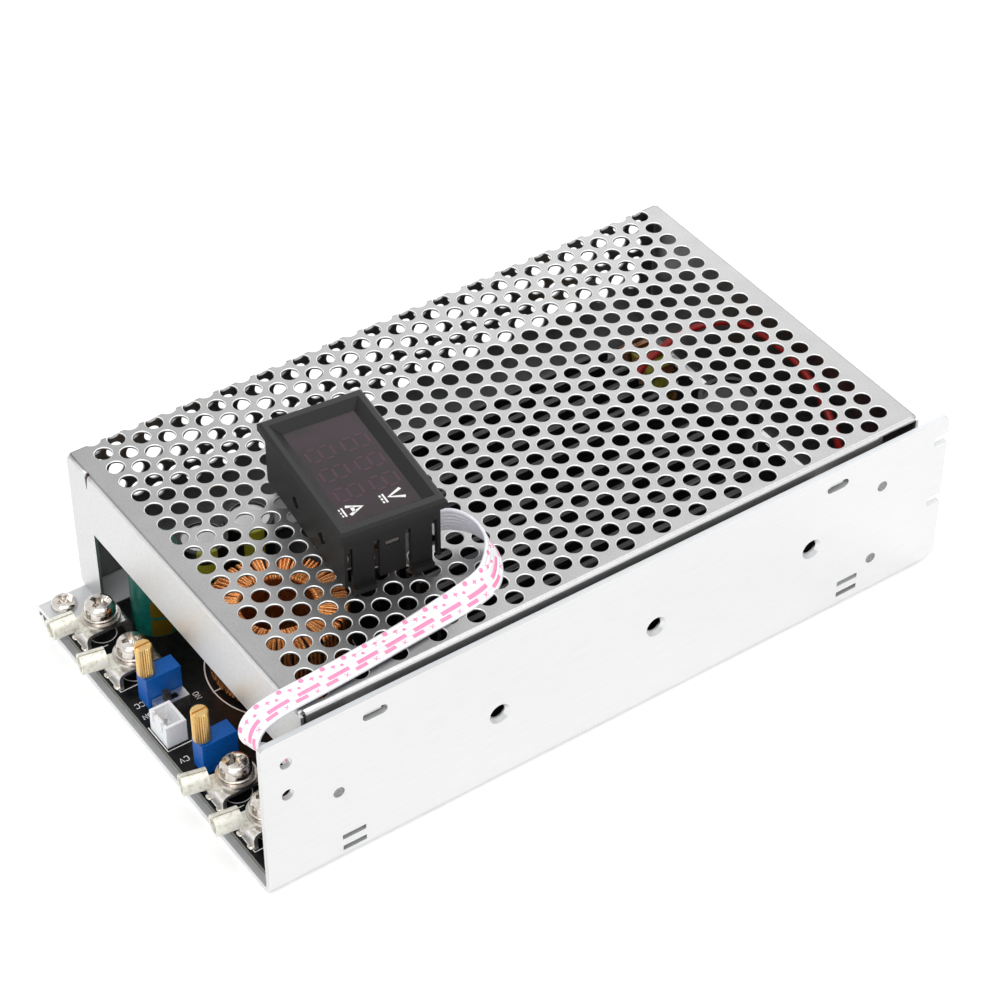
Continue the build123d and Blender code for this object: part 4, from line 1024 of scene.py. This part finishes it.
def solder(materials):
    """Bright solder beads in front of the terminals' tabs."""
    across, along, height = BEAD_SIZE
    shapes = []
    for y in TERMINAL_Y:
        for side in (-1, 1):
            centre = Vector((BEAD_X, y + BEAD_ASIDE * side, BOARD_TOP))
            rings = []
            for lift in (0.0, 0.35, 0.7, 0.92):
                reach = math.sqrt(1 - lift * lift)
                rings.append([
                    centre + Vector((across * reach * x, along * reach * y_part, height * lift))
                    for x, y_part in circle((0, 0), 1.0, BEAD_SIDES)
                ])
            shapes.append(loft(rings))
    mesh_piece("solder_beads", shapes, materials["nickel"], smooth=ALL_SMOOTH)


# Print: thin white and dark shapes just above the surface that carries them
INK = 0.03
TERMINAL_RING = 3.5
CHOKE_RING = 18.8
LABEL_HEIGHT = 1.5


def stroke(points, width, level, closed=False):
    """A flat line of even width through points on a level plane."""
    count = len(points)
    vertices = []
    for i, (x, y) in enumerate(points):
        before = points[i - 1] if (i or closed) else points[i]
        after = points[(i + 1) % count] if (i < count - 1 or closed) else points[i]
        dx, dy = after[0] - before[0], after[1] - before[1]
        size = math.hypot(dx, dy)
        nx, ny = -dy / size * width / 2, dx / size * width / 2
        vertices += [(x + nx, y + ny, level), (x - nx, y - ny, level)]
    faces = []
    for i in range(count if closed else count - 1):
        j = (i + 1) % count
        faces.append((2 * i + 1, 2 * j + 1, 2 * j, 2 * i))
    return vertices, faces


LETTER_STROKES = {
    "A": [[(0, 0), (0.5, 1), (1, 0)], [(0.2, 0.36), (0.8, 0.36)]],
    "V": [[(0, 1), (0.5, 0), (1, 1)]],
    "C": [[(1, 0.85), (0.8, 1), (0.2, 1), (0, 0.8), (0, 0.2), (0.2, 0), (0.8, 0), (1, 0.15)]],
    "O": [[
        (0.5, 1), (0.1, 0.85), (0, 0.5), (0.1, 0.15), (0.5, 0), (0.9, 0.15), (1, 0.5), (0.9, 0.85), (0.5, 1)
    ]],
    "N": [[(0, 0), (0, 1), (1, 0), (1, 1)]],
}


def lettering(text, corner, height, angle, level, weight=0.16, breadth=0.62):
    """Short words in plain strokes, from a corner, turned by an angle."""
    turn = math.radians(angle)
    shapes = []
    width = height * breadth
    for number, letter in enumerate(text):
        for line in LETTER_STROKES[letter]:
            points = []
            for u, v in line:
                x = number * width * 1.45 + u * width
                y = v * height
                points.append((
                    corner[0] + x * math.cos(turn) - y * math.sin(turn),
                    corner[1] + x * math.sin(turn) + y * math.cos(turn),
                ))
            shapes.append(stroke(points, height * weight, level))
    return shapes


def board_print(materials):
    """Ring marks under the terminals, the choke's outline and a few plain labels."""
    level = BOARD_TOP + INK
    shapes = []
    for y in TERMINAL_Y:
        shapes.append(stroke(circle((TERMINAL_X, y), TERMINAL_RING, 40), 0.25, level, closed=True))
        shapes.append(stroke([(-97.9, y + 1.6), (-97.9, y - 4.4), (-92.4, y - 4.4)], 0.3, level))
    shapes.append(stroke(circle(CHOKE_CENTRE, CHOKE_RING, 96), 0.35, level, closed=True))
    shapes.append(stroke([(-79.6, 3.6), (-76.9, 3.6)], 0.35, level))
    shapes.append(stroke([(-98.4, 2.2), (-98.4, -7.4), (-91.8, -7.4)], 0.3, level))
    for text, corner, angle in (
        ("CC", (-95.2, 10.6), 180),
        ("ON", (-95.4, 6.4), 180),
        ("CV", (-95.4, -11.0), 180),
        ("ON", (-84.0, 6.0), -90),
    ):
        shapes += lettering(text, corner, LABEL_HEIGHT, angle, level)
    mesh_piece("board_print", shapes, materials["print"])


# Bright metal strip behind the narrow window at the meter's end
PEEP_PLACE = Vector((0.0, -21.0, 12.65))
PEEP_LOW = (-1.7, -0.5)
PEEP_HIGH = (1.7, 0.5)

DIGIT_SEGMENTS = (
    ((0.1, 1.0), (0.9, 1.0)),
    ((0.1, 0.5), (0.9, 0.5)),
    ((0.1, 0.0), (0.9, 0.0)),
    ((0.0, 0.9), (0.0, 0.6)),
    ((0.0, 0.4), (0.0, 0.1)),
    ((1.0, 0.9), (1.0, 0.6)),
    ((1.0, 0.4), (1.0, 0.1)),
)
DIGIT_ROWS = (1.4, -7.6)
DIGIT_START = 9.4
DIGIT_PITCH = 7.6
DIGIT_HEIGHT = 6.4
DIGIT_WIDTH = 4.4
UNIT_PLACES = (("V", 3.0), ("A", -7.4))
UNIT_START = -12.0


def meter_marks(materials):
    """Faint unlit digits and the two unit letters on the meter's window; they read towards -Y."""
    level = WINDOW_TOP + INK
    digits = []
    for row in DIGIT_ROWS:
        for number in range(3):
            start = DIGIT_START - number * DIGIT_PITCH
            for ends in DIGIT_SEGMENTS:
                line = [(row + v * DIGIT_HEIGHT, start - u * DIGIT_WIDTH) for u, v in ends]
                digits.append(stroke(line, 0.7, level))
    units = []
    for letter, row in UNIT_PLACES:
        units += lettering(letter, (row, UNIT_START), 3.6, -90, level, 0.24, 0.86)
        units.append(stroke([(row - 1.0, UNIT_START), (row - 1.0, UNIT_START - 3.2)], 0.45, level))
        for tick in range(3):
            y = UNIT_START - 0.2 - tick * 1.1
            units.append(stroke([(row - 1.8, y), (row - 1.8, y - 0.7)], 0.5, level))
    corners = [PEEP_PLACE + Vector((x, 0, z)) for x, z in rectangle(PEEP_LOW, PEEP_HIGH)]
    groups = (
        ("meter_digits", digits, "segment"),
        ("meter_units", units, "print"),
        ("meter_strip", [(corners, [(0, 1, 2, 3)])], "nickel"),
    )
    for name, shapes, material in groups:
        vertices, faces = join_shapes(shapes)
        placed = [METER_PLACE @ Vector(vertex) for vertex in vertices]
        mesh_piece(name, [(placed, faces)], materials[material])


def dress_nodes(materials):
    """Give every node its finish."""
    numbers = range(1, 5)
    brackets = [f"terminal_bracket_{number}" for number in numbers]
    devices = [f"power_device_{number}" for number in numbers]
    groups = {
        "case_aluminium": ["chassis", "heat_spreader"],
        "zinc_sheet": ["cover"],
        "film": ["insulating_film"],
        "circuit_board": ["circuit_board", "meter_board"],
        "tinned_metal": ["board_posts", "signal_pins", "switch_frame", *brackets],
        "lug_tin": [f"wire_lug_{number}" for number in numbers],
        "nickel": ["board_screws", "flange_screw", "terminal_screws"],
        "screw_end": ["wall_screws"],
        "washer_steel": ["flat_washers", "spring_washers"],
        "blue": ["voltage_trimmer", "current_trimmer"],
        "brass": ["voltage_trimmer_knob", "current_trimmer_knob"],
        "nylon": ["signal_socket", "ribbon_header", "ribbon_plug", "meter_plug"],
        "black": ["switch_base", "switch_slider"],
        "dark_core": ["choke_core"],
        "copper": ["choke_winding"],
        "yellow_core": ["filter_core"],
        "dark_copper": ["filter_winding"],
        "black_anodised": ["heatsink_near", "heatsink_far"],
        "device": ["wall_device", *devices],
        "meter": ["meter_case"],
        "tinted_window": ["meter_window"],
        "display": ["meter_display"],
        "ribbon_back": ["ribbon_cable"],
        "red": ["red_lead"],
    }
    for name, members in groups.items():
        for member in members:
            nodes[member].data.materials.clear()
            nodes[member].data.materials.append(materials[name])
    dark = ((0.006, 0.007, 0.006), (0.013, 0.015, 0.013), (0.36, 0.39, 0.03), 0.50)
    plain = (*dark[:2], (0.02, 0.021, 0.02), 0.04)
    teal = ((0.002, 0.075, 0.060), (0.003, 0.125, 0.10), (0.10, 0.070, 0.004), 0.50)
    sleeves = (teal, dark, dark, plain)
    for number in numbers:
        low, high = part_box(f"capacitor_{number}")
        centre = (low + high) / 2 / MM
        radius = (high.x - low.x) / 2 / MM
        slots = nodes[f"capacitor_{number}"].data.materials
        slots.clear()
        slots.append(sleeve(f"sleeve_{number}", *sleeves[number - 1], centre, radius))


# Studio
FLOOR_REACH = 6.0
FLOOR_GLOW = 0.18
WORLD_FILL = 0.62


def seen_rays(tree):
    """1 for a ray straight from the camera, from a mirror or through a clear piece, else 0."""
    path = tree.nodes.new("ShaderNodeLightPath")
    seen = path.outputs["Is Camera Ray"]
    for kind in ("Is Glossy Ray", "Is Transmission Ray"):
        either = tree.nodes.new("ShaderNodeMath")
        either.operation = "MAXIMUM"
        tree.links.new(seen, either.inputs[0])
        tree.links.new(path.outputs[kind], either.inputs[1])
        seen = either.outputs[0]
    return seen


def studio():
    """A pale floor and world, with soft lamps above, at the left, in front and at the rear."""
    scene = bpy.context.scene
    scene.view_settings.view_transform = "Standard"
    corners = rectangle((-FLOOR_REACH, -FLOOR_REACH), (FLOOR_REACH, FLOOR_REACH))
    floor = bpy.data.meshes.new("floor")
    floor.from_pydata([(x, y, 0) for x, y in corners], [], [(0, 1, 2, 3)])
    ground = new_object("floor", floor)
    ground.location.z = -0.0002
    paint = Paint("floor", grey(0.93), roughness=0.9)
    paint.colour(paint.ramp(paint.noise(0.01, detail=2.0), grey(0.90), grey(0.94)))
    paint.shader.inputs["Emission Color"].default_value = (1, 1, 1, 1)
    glow = paint.math("MULTIPLY", seen_rays(paint.tree), FLOOR_GLOW)
    paint.link(glow, paint.shader.inputs["Emission Strength"])
    floor.materials.append(paint.material)
    world = bpy.data.worlds.new("studio")
    world.use_nodes = True
    scene.world = world
    tree = world.node_tree
    back = tree.nodes["Background"]
    back.inputs["Color"].default_value = (1, 1, 1, 1)
    strength = tree.nodes.new("ShaderNodeMapRange")
    strength.inputs["To Min"].default_value = WORLD_FILL
    strength.inputs["To Max"].default_value = 1.0
    tree.links.new(seen_rays(tree), strength.inputs["Value"])
    tree.links.new(strength.outputs["Result"], back.inputs["Strength"])
    lamps = (
        ("overhead", (-0.2, -0.3, 1.1), 1.0, 5.0),
        ("key", (-0.9, -0.5, 0.9), 0.7, 4.0),
        ("fill", (0.5, -1.1, 0.7), 0.8, 1.5),
        ("rear", (0.75, 0.75, 0.65), 0.8, 4.5),
    )
    for name, place, width, power in lamps:
        data = bpy.data.lights.new(name, "AREA")
        data.energy = power
        data.size = width
        lamp = new_object(name, data)
        lamp.location = place
        lamp.rotation_euler = (-Vector(place)).to_track_quat("-Z", "Y").to_euler()


make_camera()
finishes = make_materials()
for dress in (
    ribbon_cable,
    dress_nodes,
    perforated_cover,
    choke_winding,
    screws,
    knobs,
    solder,
    board_print,
    meter_marks,
):
    dress(finishes)
studio()
